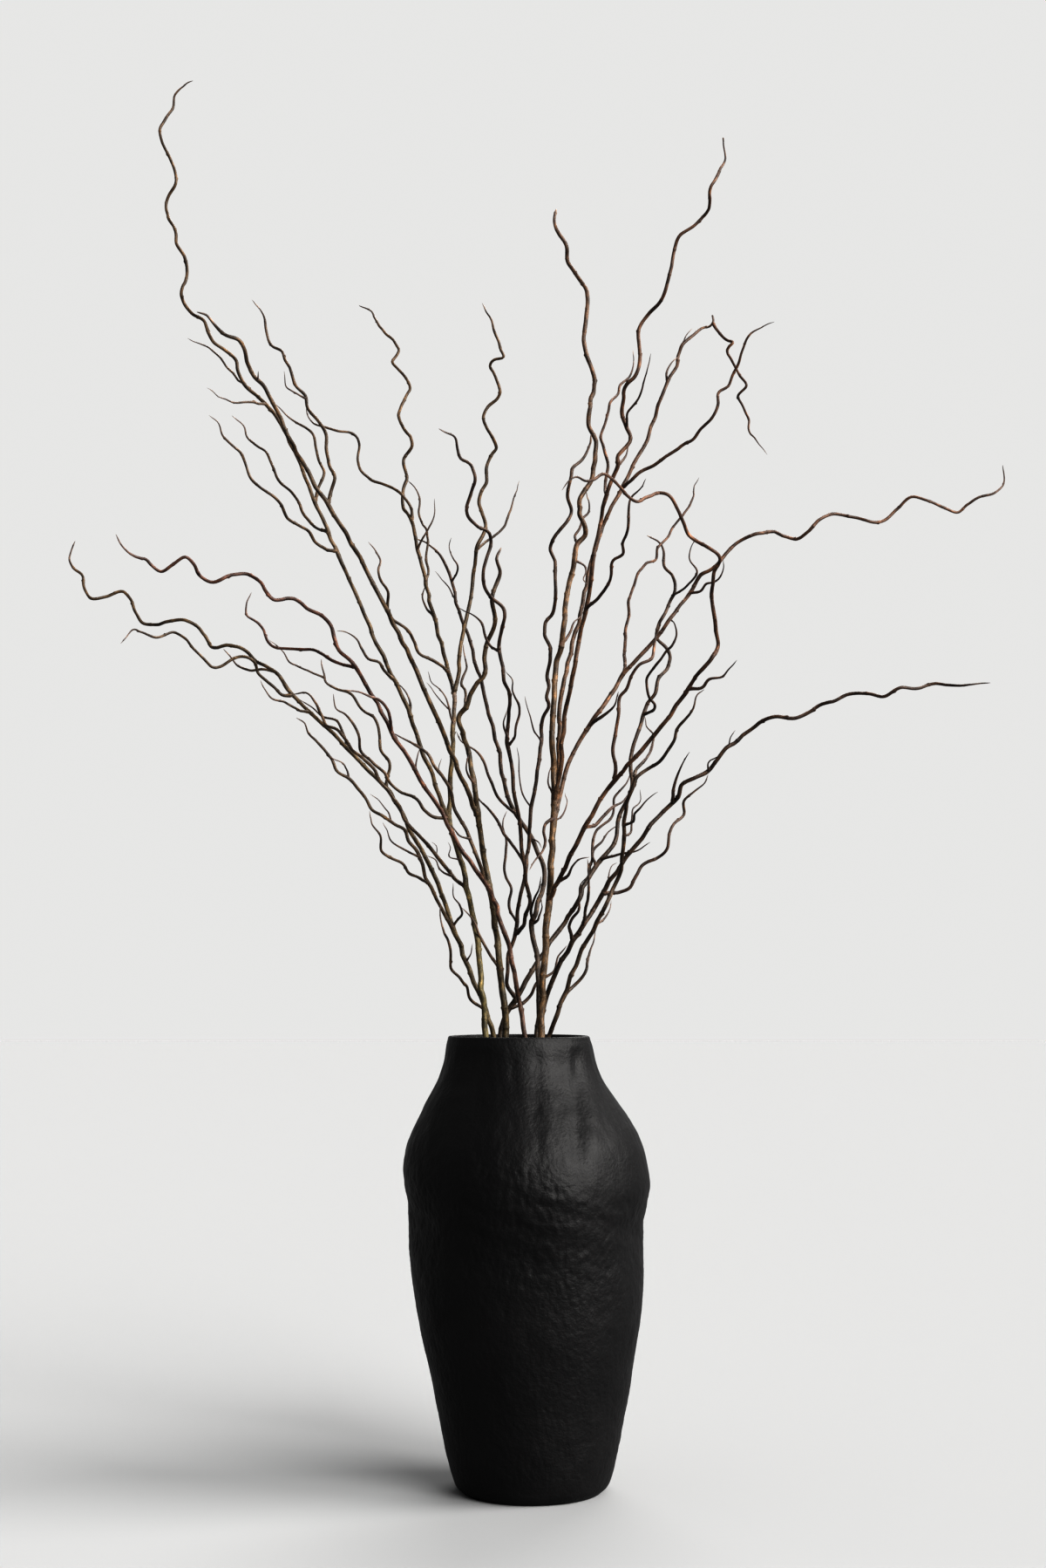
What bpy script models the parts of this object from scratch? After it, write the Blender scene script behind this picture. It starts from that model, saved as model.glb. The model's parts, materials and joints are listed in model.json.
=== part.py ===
"""Willow branches in a vase: a hand-formed matte black vase and nine curly willow branches.

World frame: the origin is the middle of the vase's flat base, +Z is up and -Y is the front.
The shoots are written as they are seen from the front, and each one is given a depth, so the
bunch opens forwards and backwards as much as it opens to the sides.
"""
import math

import bpy
import bmesh
from mathutils import Vector

CM = 0.01
MM = 0.001

# --- the front view the shoots are written in -------------------------------------------
EYE = Vector((-0.0067, -1.894, 0.4296))   # a shoot in front of or behind Y = 0 keeps its place
MOUTH_Z = 38.0                            # cm; below this height positions are not moved

# --- vase, cm ---------------------------------------------------------------------------
LEAN = -0.0268            # the vase's axis moves this far in X for each cm of height
WALL = 0.65
FLOOR_Z = 0.9
VASE_STEPS = 40
FOOT_FLAT = 5.7           # radius of the flat face it stands on
# outside of the vase: height, left edge, right edge
VASE_SIDES = [
    (0.12, -6.0, 6.1), (0.5, -6.4, 6.55), (1.2, -6.65, 6.85), (3.0, -7.2, 7.35), (6.0, -7.8, 7.95),
    (9.0, -8.4, 8.5), (12.0, -9.1, 9.0), (15.0, -9.75, 9.45), (18.0, -10.2, 9.7), (20.5, -10.45, 9.75),
    (22.5, -10.5, 9.75), (24.0, -10.55, 10.0), (25.5, -10.8, 10.2), (27.0, -10.95, 10.05),
    (28.5, -10.75, 9.75), (30.0, -10.25, 9.15), (31.5, -9.55, 8.25), (33.0, -8.8, 7.15),
    (34.5, -8.0, 6.2), (36.0, -7.5, 5.6), (37.5, -7.25, 5.3), (38.1, -7.1, 5.1),
]
RIM_TOP = 38.25
# hand-formed lumps and dents: bearing (degrees, -90 is the front), height, spread in
# degrees, spread in height, how far out or in
VASE_LUMPS = [
    (-85, 26.0, 36, 5.0, 0.55), (-150, 22.0, 17, 2.4, -0.40), (-22, 21.0, 18, 2.4, -0.40),
    (-128, 30.0, 15, 5.5, -0.30), (-62, 33.0, 9, 4.0, -0.18), (-95, 20.5, 26, 2.0, -0.25),
    (95, 25.5, 34, 5.0, 0.40), (55, 21.5, 18, 2.4, -0.35), (140, 22.5, 17, 2.4, -0.35),
    (118, 31.0, 14, 5.0, -0.20), (-60, 12.0, 30, 5.0, 0.15), (100, 11.0, 32, 5.0, 0.15),
]

# --- branches ---------------------------------------------------------------------------
STEM_SIDES = 1            # bevel resolution 1 is six-sided
TWIG_SIDES = 0            # bevel resolution 0 is four-sided
STEM_WIDTH = 3.2          # mm; a shoot that starts at least this wide is six-sided
LEAST_WIDTH = 0.9         # mm
CURL = 0.9                # how much of the front-view curl is repeated in depth
CURL_TURN = (1.0, 1.0, -1.0, -1.0)
SWAY = (0.42, 0.26)       # cm; slow waves in depth
SWAY_LENGTH = (9.5, 5.3)  # cm; the length of each of those waves
STEEPEST = 0.85           # a shoot's tip moves no further in depth than this much of its run
STEM_BOW = 1.25           # above 1 a stem starts upright and leans out later
TWIG_BOW = 0.75           # below 1 a twig leaves at an angle and then runs more upright
FOOT_GAP = 0.03           # cm between the cut ends and the floor inside the vase
# Each branch is a list of shoots.  A shoot is
# (name, shoot it grows from, width at its start, width at its tip, depth at its tip, bends)
# with widths in mm and everything else in cm.  The bends are front-view positions (x, z).
# The first bend is only a mark: the shoot starts on its parent at the nearest place.

OLIVE_LEFT = [
    ("stem", None, 4.8, 3.4, 4.0, [
        (-3.9, 38.3), (-4.0, 40.2), (-4.3, 42.4), (-4.5, 44.6), (-4.65, 46.2), (-4.85, 47.6), (-5.1, 49),
        (-5.4, 50.4), (-5.8, 52), (-6.1, 53.4), (-6.5, 54.9), (-6.95, 56.2), (-7.2, 57.3), (-7.1, 58.6),
        (-7.1, 60.2), (-6.95, 62), (-6.85, 64), (-6.7, 66.2), (-6.7, 68.3)]),
    ("tall_left", "stem", 2.9, 1.1, 25.0, [
        (-6.7, 68.0), (-7.0, 69.3), (-7.35, 70.5), (-7.65, 71.6), (-8.0, 73), (-8.4, 74.5), (-8.8, 76),
        (-9.15, 77.6), (-9.5, 79.2), (-10.0, 80.9), (-10.15, 82.3), (-10.5, 83.6), (-11.15, 84.6),
        (-11.35, 85.5), (-11.2, 86.5), (-11.0, 87.3), (-11.2, 88.6), (-11.0, 89.4), (-10.5, 90.1),
        (-10.6, 90.9), (-11.3, 91.8), (-11.7, 92.8), (-11.55, 93.7), (-11.1, 94.5), (-10.7, 95.2),
        (-11.0, 96.1), (-11.8, 97.1), (-12.3, 97.8), (-11.9, 98.4), (-11.7, 98.9), (-12.6, 100.1),
        (-13.5, 101), (-14.1, 102.2), (-15.3, 102.9)]),
    ("tall_right", "stem", 2.8, 1.0, 9.0, [
        (-6.6, 68.2), (-6.4, 69.6), (-6.2, 71.4), (-5.95, 73.2), (-5.65, 74.8), (-5.3, 76.6), (-5.05, 78.2),
        (-4.9, 79.8), (-4.7, 81.1), (-4.2, 82.2), (-4.0, 83), (-4.3, 84.2), (-4.6, 85.1), (-4.4, 86.1),
        (-3.9, 87), (-3.85, 88.4), (-3.5, 89.3), (-3.0, 90), (-3.4, 90.9), (-4.0, 91.8), (-4.15, 92.7),
        (-3.8, 93.7), (-3.0, 94.4), (-2.7, 95), (-3.1, 96.3), (-3.6, 97.4), (-3.2, 97.95), (-2.4, 98.1),
        (-2.8, 99.3), (-3.3, 100.5), (-3.5, 101.6), (-4.3, 103.1)]),
    ("upper_left", "stem", 3.1, 1.1, 8.0, [
        (-7.2, 57.1), (-7.7, 58.2), (-8.3, 59.8), (-8.8, 61.3), (-9.4, 62.8), (-10.0, 64.7), (-10.7, 66.4),
        (-11.6, 68.4), (-12.5, 70.3), (-13.5, 72.5), (-14.6, 75), (-15.6, 77.2), (-16.6, 79.5),
        (-17.6, 81.7), (-18.5, 83.8), (-19.4, 86), (-20.3, 88.3), (-21.2, 90.3), (-22.2, 92.2),
        (-23.2, 93.7), (-24.3, 94.7), (-25.2, 95.6), (-25.9, 96.8), (-26.3, 98), (-27.2, 98.8),
        (-28.1, 99.5), (-28.6, 100.5), (-29.2, 101.5), (-30.1, 102.1), (-30.9, 103.2), (-31.15, 104),
        (-30.7, 105.1), (-30.6, 106.2), (-31.0, 107.4), (-31.6, 108.5), (-31.7, 109.5), (-32.3, 110.8),
        (-32.6, 111.8), (-32.3, 113), (-31.7, 114.1), (-31.8, 115.2), (-32.5, 116.6), (-33.1, 118),
        (-33.3, 119.1), (-32.8, 120.1), (-32.1, 121.1), (-31.9, 122.3), (-31.3, 123.1), (-30.4, 123.6)]),
    ("back_curl", "tall_left", 1.7, 0.9, -2.0, [
        (-7.3, 69.9), (-8.1, 70.6), (-9.0, 71.2), (-9.8, 71.7), (-10.1, 72.6), (-10.6, 73.5),
        (-11.3, 74.1), (-12.1, 74.7), (-12.55, 75.6), (-12.5, 77), (-13.1, 78), (-13.4, 79),
        (-13.25, 80), (-13.7, 80.8), (-14.3, 81.5)]),
    ("arch", "tall_left", 1.6, 0.8, 16.0, [
        (-10.4, 83.5), (-10.55, 84.6), (-11.2, 85.6), (-12.1, 86.3), (-13.2, 86.8), (-14.3, 87.2),
        (-15.0, 88), (-15.25, 89.3), (-15.25, 90.4), (-15.7, 91.2), (-17.0, 91.5), (-18.2, 91.9),
        (-19.2, 92.1), (-19.75, 92.8), (-19.9, 93.9)]),
    ("close_twist", "tall_left", 1.4, 0.8, 21.5, [
        (-9.2, 78), (-9.0, 79), (-9.25, 80.2), (-9.0, 81.6), (-9.3, 82.8), (-9.9, 84.2), (-9.85, 85.6),
        (-10.3, 86.5), (-10.9, 87.1)]),
    ("spur", "tall_left", 1.2, 0.6, 12.0, [
        (-9.9, 80.9), (-9.5, 82), (-8.8, 83), (-8.45, 84.2), (-8.5, 85.4)]),
    ("wisp", "tall_right", 1.4, 0.6, 17.0, [
        (-4.75, 80.9), (-4.0, 81.5), (-3.1, 82.2), (-2.3, 83), (-1.8, 84.3), (-1.4, 85.8), (-1.0, 87)]),
    ("outer_wave", "upper_left", 1.7, 0.8, -6.0, [
        (-17.2, 80.7), (-18.2, 80.9), (-19.0, 81.5), (-19.6, 82.5), (-20.5, 83.1), (-21.4, 83.7),
        (-22.0, 84.8), (-22.7, 85.6), (-23.9, 86.4), (-24.8, 87.2), (-25.3, 88.4), (-25.8, 89.6),
        (-26.7, 90.4), (-27.3, 91), (-27.7, 92.1), (-28.5, 92.9)]),
    ("inner_wave", "upper_left", 1.6, 0.8, 13.0, [
        (-18.1, 82.4), (-19.2, 83), (-20.0, 83.9), (-20.4, 85), (-21.3, 86.1), (-22.3, 87.1),
        (-22.8, 88.3), (-23.4, 89.6), (-24.5, 90.4), (-25.2, 91), (-25.5, 92), (-26.5, 92.9)]),
    ("rising_twist", "upper_left", 1.5, 0.9, 10.0, [
        (-19.1, 85.1), (-18.7, 86.4), (-18.2, 87.7), (-18.7, 88.7), (-19.0, 90), (-19.3, 91.3),
        (-20.4, 92.1), (-21.6, 92.9), (-22.6, 93.9)]),
    ("side_curl", "upper_left", 1.5, 0.8, 1.0, [
        (-12.1, 69.3), (-12.9, 70.1), (-13.3, 70.9), (-14.3, 71.2), (-14.8, 72), (-15.3, 72.9),
        (-16.2, 73.5), (-17.0, 73.6)]),
    ("short_bow", "upper_left", 1.4, 0.9, 3.2, [
        (-10.6, 66.3), (-10.5, 67.2), (-10.8, 68), (-11.3, 68.6), (-11.9, 69.1)]),
    ("side_reach", "upper_left", 1.3, 0.6, -1.0, [
        (-23.5, 93.9), (-25.0, 94.1), (-26.7, 94.2), (-27.7, 94.7), (-28.7, 95.4)]),
    ("side_fork", "upper_left", 1.3, 0.6, 14.0, [
        (-25.0, 95.3), (-25.9, 96.1), (-26.8, 97.1), (-27.7, 98.3), (-28.6, 99.1), (-29.6, 99.5),
        (-30.5, 99.9)]),
    ("low_reach", "stem", 2.2, 1.3, 9.0, [
        (-5.9, 51), (-6.6, 51.8), (-7.3, 52.7), (-8.2, 53.8), (-9.2, 54.9), (-10.2, 56), (-11.0, 57),
        (-11.6, 58.2), (-12.4, 59.4), (-13.3, 60.6), (-13.7, 61.4), (-14.6, 62.3), (-15.6, 63),
        (-16.2, 64), (-16.9, 64.9), (-17.9, 65.2), (-18.35, 66.2), (-18.9, 67.2), (-19.7, 68.1),
        (-20.8, 68)]),
    ("low_curl", "stem", 1.7, 0.9, -3.0, [
        (-7.2, 57.1), (-8.4, 57.2), (-9.3, 57.8), (-9.9, 58.7), (-11.0, 59.3), (-12.1, 59.9),
        (-12.7, 61), (-13.8, 62), (-14.8, 62.9), (-15.05, 64.2), (-15.6, 65.5), (-16.3, 66.3),
        (-17.1, 66.8), (-17.3, 68)]),
    ("tiny_left", "stem", 1.0, 0.6, -2.4, [(-7.5, 53.1), (-7.1, 53.8), (-6.95, 54.5), (-7.2, 55)]),
]

THIN_RED = [
    ("stem", None, 3.4, 1.1, -15.0, [
        (-0.45, 38.3), (-0.95, 41), (-1.4, 43.3), (-1.8, 45.6), (-2.5, 47.8), (-3.15, 49.9), (-4.0, 51.6),
        (-5.0, 53), (-5.9, 54.1), (-6.6, 55.4), (-7.3, 56.8), (-8.4, 58.7), (-9.7, 60.7), (-10.9, 62.6),
        (-12.0, 64.4), (-13.0, 66.3), (-13.9, 67.9), (-14.8, 69.5), (-15.7, 70.9), (-16.8, 71.9),
        (-17.2, 73), (-17.5, 74.1), (-18.3, 74.9), (-19.4, 75.5), (-20.4, 76.2), (-21.4, 76.5),
        (-22.7, 76.4), (-23.3, 77), (-23.9, 78), (-24.9, 78.7), (-26.3, 78.6), (-27.2, 78.1),
        (-28.1, 77.9), (-29.1, 78.5), (-29.7, 79.6), (-30.5, 80.2), (-31.5, 79.6), (-32.6, 78.8),
        (-33.4, 79.4), (-34.0, 80.1), (-35.1, 80.3), (-36.0, 81.1), (-36.6, 82.2)]),
    ("step_twig", "stem", 1.6, 0.9, -4.0, [
        (-15.5, 70.3), (-16.6, 70.7), (-17.6, 71.1), (-18.5, 71.6), (-19.4, 72), (-20.8, 71.95),
        (-22.4, 72.05), (-23.1, 72.6), (-23.4, 73.7), (-24.1, 74.5), (-24.9, 75.1), (-25.0, 76),
        (-24.6, 77)]),
    ("drop_loop", "stem", 1.5, 0.9, -13.0, [
        (-12.2, 64.8), (-12.35, 65.8), (-12.7, 66.8), (-13.4, 67.6), (-14.4, 67.95), (-15.6, 68.3),
        (-16.4, 68.4)]),
    ("hook", "stem", 1.2, 0.8, -7.5, [
        (-10.1, 61.3), (-10.0, 62.2), (-9.7, 63.2)]),
]

FAR_LEFT = [
    ("stem", None, 3.9, 1.2, 16.0, [
        (-3.25, 38.3), (-3.7, 39.8), (-4.2, 41.2), (-4.8, 42.7), (-5.4, 44.2), (-6.0, 45.7), (-6.7, 47.4),
        (-7.2, 49), (-7.8, 50.7), (-8.5, 52.3), (-9.2, 53.8), (-10.1, 55.3), (-10.8, 56.6), (-11.3, 57.8),
        (-12.1, 59.1), (-13.2, 60.4), (-14.5, 61.6), (-15.9, 63), (-17.3, 64.5), (-18.9, 66),
        (-20.3, 67.2), (-21.4, 68.5), (-22.1, 69.7), (-23.1, 70.4), (-24.2, 70.9), (-24.9, 71.7),
        (-25.8, 72.2), (-27.0, 72.25), (-28.1, 72.2), (-28.6, 73.2), (-29.3, 74.1), (-30.3, 74.6),
        (-31.6, 74.5), (-33.2, 74.2), (-34.1, 74.3), (-34.8, 75.3), (-35.2, 76.4), (-36.1, 77.05),
        (-37.4, 76.7), (-38.7, 76.5), (-39.2, 77.2), (-39.5, 78.4), (-40.3, 79.2), (-40.75, 80.1),
        (-40.2, 81.6)]),
    ("lower_tip", "stem", 1.7, 0.8, 5.0, [
        (-20.9, 67.9), (-21.8, 67.9), (-22.4, 68.5), (-23.1, 69.1), (-23.9, 69.9), (-24.1, 70.7),
        (-25.0, 71.3), (-26.2, 71.1), (-27.2, 70.5), (-28.0, 70.5), (-28.8, 71.3), (-29.7, 72.1),
        (-30.5, 73), (-31.4, 73.5), (-33.0, 73), (-34.2, 73.5), (-35.0, 73.65), (-36.0, 72.5)]),
    ("middle_wave", "stem", 1.5, 0.9, 20.0, [
        (-21.6, 68.7), (-22.2, 69.9), (-23.3, 70.1), (-24.8, 70.2), (-25.7, 70.5), (-26.3, 71.3),
        (-27.0, 72)]),
    ("left_strand", "stem", 2.0, 1.0, -2.0, [
        (-6.7, 47.4), (-7.4, 48.6), (-8.1, 50), (-8.9, 51.5), (-9.4, 52.8), (-9.9, 54.2), (-10.7, 55.1),
        (-11.0, 56.1), (-11.8, 56.5), (-12.9, 57.3), (-13.9, 57.9), (-14.5, 58.9), (-15.2, 59.7),
        (-15.9, 60.5), (-17.0, 61.2), (-17.5, 62.4), (-18.7, 63.7), (-19.5, 64.5), (-19.8, 65.4),
        (-20.5, 65.9)]),
    ("left_eye", "left_strand", 1.2, 0.8, -1.0, [
        (-15.9, 60.5), (-16.0, 61.2), (-16.4, 61.9), (-17.1, 62.2), (-17.7, 62.6)]),
    ("left_bow", "left_strand", 1.5, 0.9, -5.5, [
        (-8.8, 51.4), (-9.7, 52), (-10.6, 52.3), (-11.2, 53.2), (-12.2, 53.7), (-13.0, 54.3),
        (-13.1, 55.6), (-13.9, 56.6), (-14.05, 57.7)]),
    ("left_tip", "left_strand", 1.2, 0.6, -3.5, [
        (-9.8, 53.7), (-10.7, 54.2), (-12.1, 55), (-12.6, 56), (-12.9, 56.7)]),
    ("dry_tip", "left_strand", 1.0, 0.6, 1.5, [
        (-12.1, 56.9), (-12.4, 57.7), (-13.1, 58.4), (-14.0, 59.2)]),
    ("low_twig", "stem", 1.5, 0.9, -3.5, [
        (-4.25, 40.4), (-5.2, 41.4), (-5.5, 42.5), (-6.1, 43.2), (-6.9, 44.1), (-7.05, 45.8),
        (-7.6, 47.3), (-7.9, 48.4), (-7.85, 49.6)]),
    ("small_hook", "stem", 1.2, 0.6, 2.5, [(-5.55, 44.7), (-5.2, 45.3), (-5.05, 46.2)]),
    ("small_wave", "stem", 1.3, 0.7, -3.0, [
        (-6.5, 47.8), (-6.0, 48.7), (-6.2, 49.5), (-6.7, 50.2), (-6.75, 51.4)]),
    ("inner_strand", "stem", 1.6, 1.0, 12.0, [
        (-12.6, 59.8), (-12.45, 61), (-12.35, 61.9), (-13.0, 63), (-13.2, 64.4), (-13.7, 65.8),
        (-15.0, 66.9), (-15.7, 68), (-17.0, 68.5), (-17.9, 69), (-18.3, 70.2), (-18.4, 71.1)]),
    ("inner_tip", "inner_strand", 1.2, 0.6, 7.0, [
        (-18.1, 69.4), (-19.5, 70.15), (-20.9, 70.65), (-21.7, 71.6), (-22.3, 72.3), (-23.0, 72.8)]),
    ("under_strand", "stem", 1.4, 0.8, 2.0, [
        (-19.4, 66.4), (-20.6, 66.7), (-21.6, 67.35), (-22.7, 67.7), (-23.3, 68.5), (-23.7, 69.2)]),
    ("over_strand", "stem", 1.4, 0.9, 17.0, [
        (-15.9, 63), (-16.4, 64.5), (-17.0, 65.6), (-18.2, 66.1), (-19.1, 66.8), (-20.2, 67.5)]),
]

BROWN_LEFT = [
    ("stem", None, 5.6, 2.2, -9.0, [
        (-2.15, 38.3), (-2.35, 41), (-2.5, 43), (-2.7, 45), (-2.9, 46.8), (-3.15, 48.4), (-3.45, 50),
        (-3.75, 51.6), (-4.0, 53.2), (-4.3, 55), (-4.55, 56.6), (-4.7, 58), (-4.85, 59.6), (-5.05, 61),
        (-5.4, 62.6), (-5.75, 64), (-6.15, 65.2), (-6.25, 66.2), (-5.6, 67), (-5.3, 68), (-4.7, 68.9),
        (-4.1, 69.8), (-4.05, 71.3), (-3.8, 72.5), (-3.3, 73.5), (-3.1, 74.7), (-3.3, 76), (-3.3, 77),
        (-2.7, 78.3), (-2.6, 79), (-3.0, 80.1), (-2.6, 81)]),
    ("upper_left", "stem", 3.3, 1.6, -26.0, [
        (-4.7, 57.3), (-5.3, 58.8), (-5.95, 60.4), (-6.7, 62.3), (-7.5, 64.3), (-8.4, 66.4), (-9.3, 68.5),
        (-10.2, 70.5), (-11.2, 72.6), (-12.2, 74.6), (-13.2, 76.6), (-14.3, 78.7), (-15.5, 80.8),
        (-16.7, 82.9), (-17.9, 84.9), (-19.1, 86.7), (-20.2, 88.6), (-21.3, 90.8), (-22.2, 92.7),
        (-23.2, 94.6), (-23.8, 95.7), (-24.6, 96.4), (-25.1, 97.5), (-25.5, 98.8), (-26.0, 99.7),
        (-27.2, 100.2), (-28.1, 101.1), (-28.9, 102), (-29.7, 102.3)]),
    ("red_side", "stem", 2.3, 1.1, -6.0, [
        (-3.6, 50.8), (-4.15, 52.2), (-4.7, 53.9), (-5.25, 55.3), (-5.9, 56.8), (-6.8, 58), (-7.0, 59.4),
        (-7.7, 60.6), (-8.4, 61.6), (-9.0, 62.7), (-10.2, 63.7), (-11.3, 64.2), (-12.2, 64.6)]),
    ("side_tip", "upper_left", 1.6, 0.8, -14.0, [
        (-17.9, 84.9), (-17.7, 86), (-17.4, 87.4), (-17.9, 88.6), (-18.1, 89.7), (-18.1, 91.2),
        (-18.8, 92.4), (-19.7, 93.5), (-20.0, 94.8), (-20.9, 95.7), (-21.4, 97), (-22.1, 98.6),
        (-23.2, 99.6), (-23.5, 100.6), (-23.7, 101.8), (-24.8, 103.4)]),
    ("side_tip_small", "side_tip", 1.1, 0.6, -20.0, [
        (-20.0, 94.4), (-21.1, 95), (-21.8, 95.6), (-21.9, 96.9)]),
    ("low_left", "stem", 1.6, 0.9, -3.5, [
        (-2.75, 44), (-3.6, 45.2), (-4.3, 46.6), (-4.8, 48), (-5.5, 48.8), (-6.0, 49.3)]),
    ("right_wind", "stem", 1.4, 0.8, 2.0, [
        (-5.8, 66.9), (-5.7, 67.8), (-6.0, 69), (-5.7, 70.3), (-5.8, 71.4), (-5.9, 72.4)]),
    ("eye", "stem", 1.4, 0.9, -7.0, [
        (-5.0, 60.2), (-5.55, 61), (-5.6, 62), (-5.4, 62.8)]),
    ("knot", "upper_left", 1.1, 0.8, -26.0, [(-24.2, 96.1), (-24.2, 96.9)]),
]

DARK_CROSSING = [
    ("stem", None, 4.2, 1.4, 20.0, [
        (-2.6, 38.3), (-1.85, 40.5), (-0.9, 42.2), (0.35, 44.3), (1.6, 46.2), (2.9, 48), (4.1, 49.9),
        (4.7, 51.2), (5.3, 52.3), (6.0, 53.4), (6.7, 54.2), (7.3, 55), (7.6, 56.3), (7.8, 57.5),
        (8.4, 58.7), (8.9, 59.9), (8.75, 61.3), (8.85, 62.7), (9.1, 64), (9.7, 65.4), (10.0, 66.4),
        (10.3, 67.3), (10.9, 68.1), (11.2, 69.3), (12.0, 70.3), (12.2, 71.3), (11.9, 72.1), (11.1, 73),
        (11.2, 74.1), (11.8, 75.2), (12.3, 76.4), (12.8, 77.4), (12.4, 78.5), (11.8, 79.3), (11.75, 80.7),
        (11.2, 81.7), (10.3, 82.1)]),
    ("left_twin", "stem", 2.4, 1.7, 3.0, [
        (-1.4, 41.6), (-2.0, 42.4), (-2.1, 43.4), (-1.85, 45.4), (-1.3, 47), (-1.1, 48.8), (-0.9, 50.4),
        (-0.6, 51.8), (-0.45, 53.1), (-0.2, 54.6), (0.0, 56.2), (0.1, 58), (0.35, 60), (0.75, 62),
        (0.95, 63.6), (0.85, 64.8), (1.1, 65.9), (1.55, 66.9), (1.35, 67.7), (1.65, 68.7), (1.5, 69.7),
        (1.75, 71), (1.7, 72.1), (1.2, 73.3), (1.4, 74.4), (2.05, 75.4), (2.3, 76.8), (2.2, 78.3),
        (2.1, 79.7), (1.8, 81), (2.2, 82.3), (3.2, 83.4), (3.6, 84.3), (3.3, 85.6), (3.45, 87),
        (3.7, 88.1), (4.6, 89.1), (5.2, 90.2), (5.35, 91.2)]),
    ("red_rise", "left_twin", 2.4, 1.2, -17.0, [
        (-1.25, 47), (-0.6, 47.7), (-0.45, 48.8), (-0.1, 49.8), (-0.25, 51), (-0.5, 52.3), (-0.75, 54),
        (-0.95, 55.8), (-1.1, 57.5), (-1.4, 59.4), (-1.6, 61), (-1.9, 63), (-2.0, 64.4), (-1.9, 66),
        (-1.9, 67.8), (-2.3, 69.2), (-2.6, 70.8), (-2.8, 72.2), (-2.6, 73.6), (-2.2, 74.8), (-2.4, 75.6),
        (-3.3, 76.5), (-3.95, 77.5), (-4.1, 78.8), (-3.8, 80.1), (-3.45, 81.3), (-3.7, 82.4),
        (-4.7, 83.1), (-5.5, 83.8), (-5.65, 84.8), (-5.2, 86), (-4.9, 87.5), (-5.2, 88.4), (-6.1, 89),
        (-6.4, 90), (-6.6, 90.9), (-8.1, 91.7)]),
    ("small_left", "left_twin", 1.5, 0.8, 9.0, [
        (-1.2, 48.1), (-1.75, 49), (-1.8, 49.9), (-1.6, 50.9), (-2.1, 52), (-2.3, 53.2), (-2.1, 54.7),
        (-2.35, 56), (-2.4, 57), (-2.1, 57.7)]),
    ("long_left", "left_twin", 1.8, 0.9, 9.5, [
        (-0.45, 53), (-1.1, 54), (-2.0, 55.3), (-2.8, 56.8), (-3.7, 58), (-4.6, 59), (-4.9, 60)]),
    ("side_link", "red_rise", 1.4, 0.7, -5.0, [
        (-2.75, 71.8), (-3.6, 72.3), (-4.05, 73.1), (-4.3, 74.2), (-5.1, 75), (-6.4, 75.7)]),
    ("right_loop", "red_rise", 1.3, 0.8, -9.0, [
        (-2.0, 63.5), (-1.4, 64.2), (-1.35, 65.2), (-1.0, 66.2), (-1.0, 67), (-1.35, 67.7),
        (-1.6, 68.4), (-1.6, 69.2), (-2.2, 70)]),
    ("left_loop", "red_rise", 1.4, 0.9, -8.5, [
        (-1.95, 64), (-2.3, 65.3), (-2.1, 66.5)]),
    ("cross_twig", "stem", 1.8, 1.1, 5.5, [
        (-1.7, 40.6), (-0.8, 41), (-0.05, 41.7), (0.55, 42.8), (1.3, 43.3), (2.0, 43.9), (2.4, 45.1),
        (3.1, 46)]),
    ("right_arm", "stem", 1.5, 0.8, 3.5, [
        (6.2, 53.5), (7.0, 53.7), (8.0, 53.95), (9.3, 54.2), (10.4, 55)]),
    ("inner_arm", "stem", 1.5, 0.9, 12.0, [
        (5.4, 53.1), (5.45, 54.4), (6.1, 55.1), (6.8, 55.9), (7.6, 56.5)]),
    ("back_wave", "stem", 1.5, 0.8, 13.5, [
        (5.1, 52), (5.3, 53.6), (5.5, 55.2), (5.9, 56.2), (6.8, 56.8), (7.15, 57.5), (7.3, 58.8),
        (8.0, 59.7), (8.6, 60.7), (8.8, 61.6)]),
    ("small_ring", "stem", 1.2, 0.8, 4.5, [
        (4.25, 50.2), (4.35, 51.2), (4.9, 52)]),
    ("right_ring", "stem", 1.5, 0.9, 6.0, [
        (10.0, 66.2), (10.7, 66.6), (10.8, 67.1), (10.35, 68), (10.2, 69.3), (10.7, 70.3), (11.6, 71.3),
        (12.4, 72.3), (12.8, 73.3), (12.6, 74.2), (12.2, 74.8)]),
    ("top_wave", "stem", 1.3, 0.6, 11.0, [
        (12.5, 76.7), (13.3, 77.3), (14.2, 78.1), (14.65, 79), (14.1, 80), (14.2, 80.9), (14.6, 81.9)]),
    ("outer_twig", "stem", 1.4, 0.9, 19.0, [
        (9.0, 60.3), (9.2, 61.4), (10.0, 62.3), (10.6, 63.3), (10.7, 64.4), (10.2, 65.2), (10.0, 66)]),
]

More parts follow.
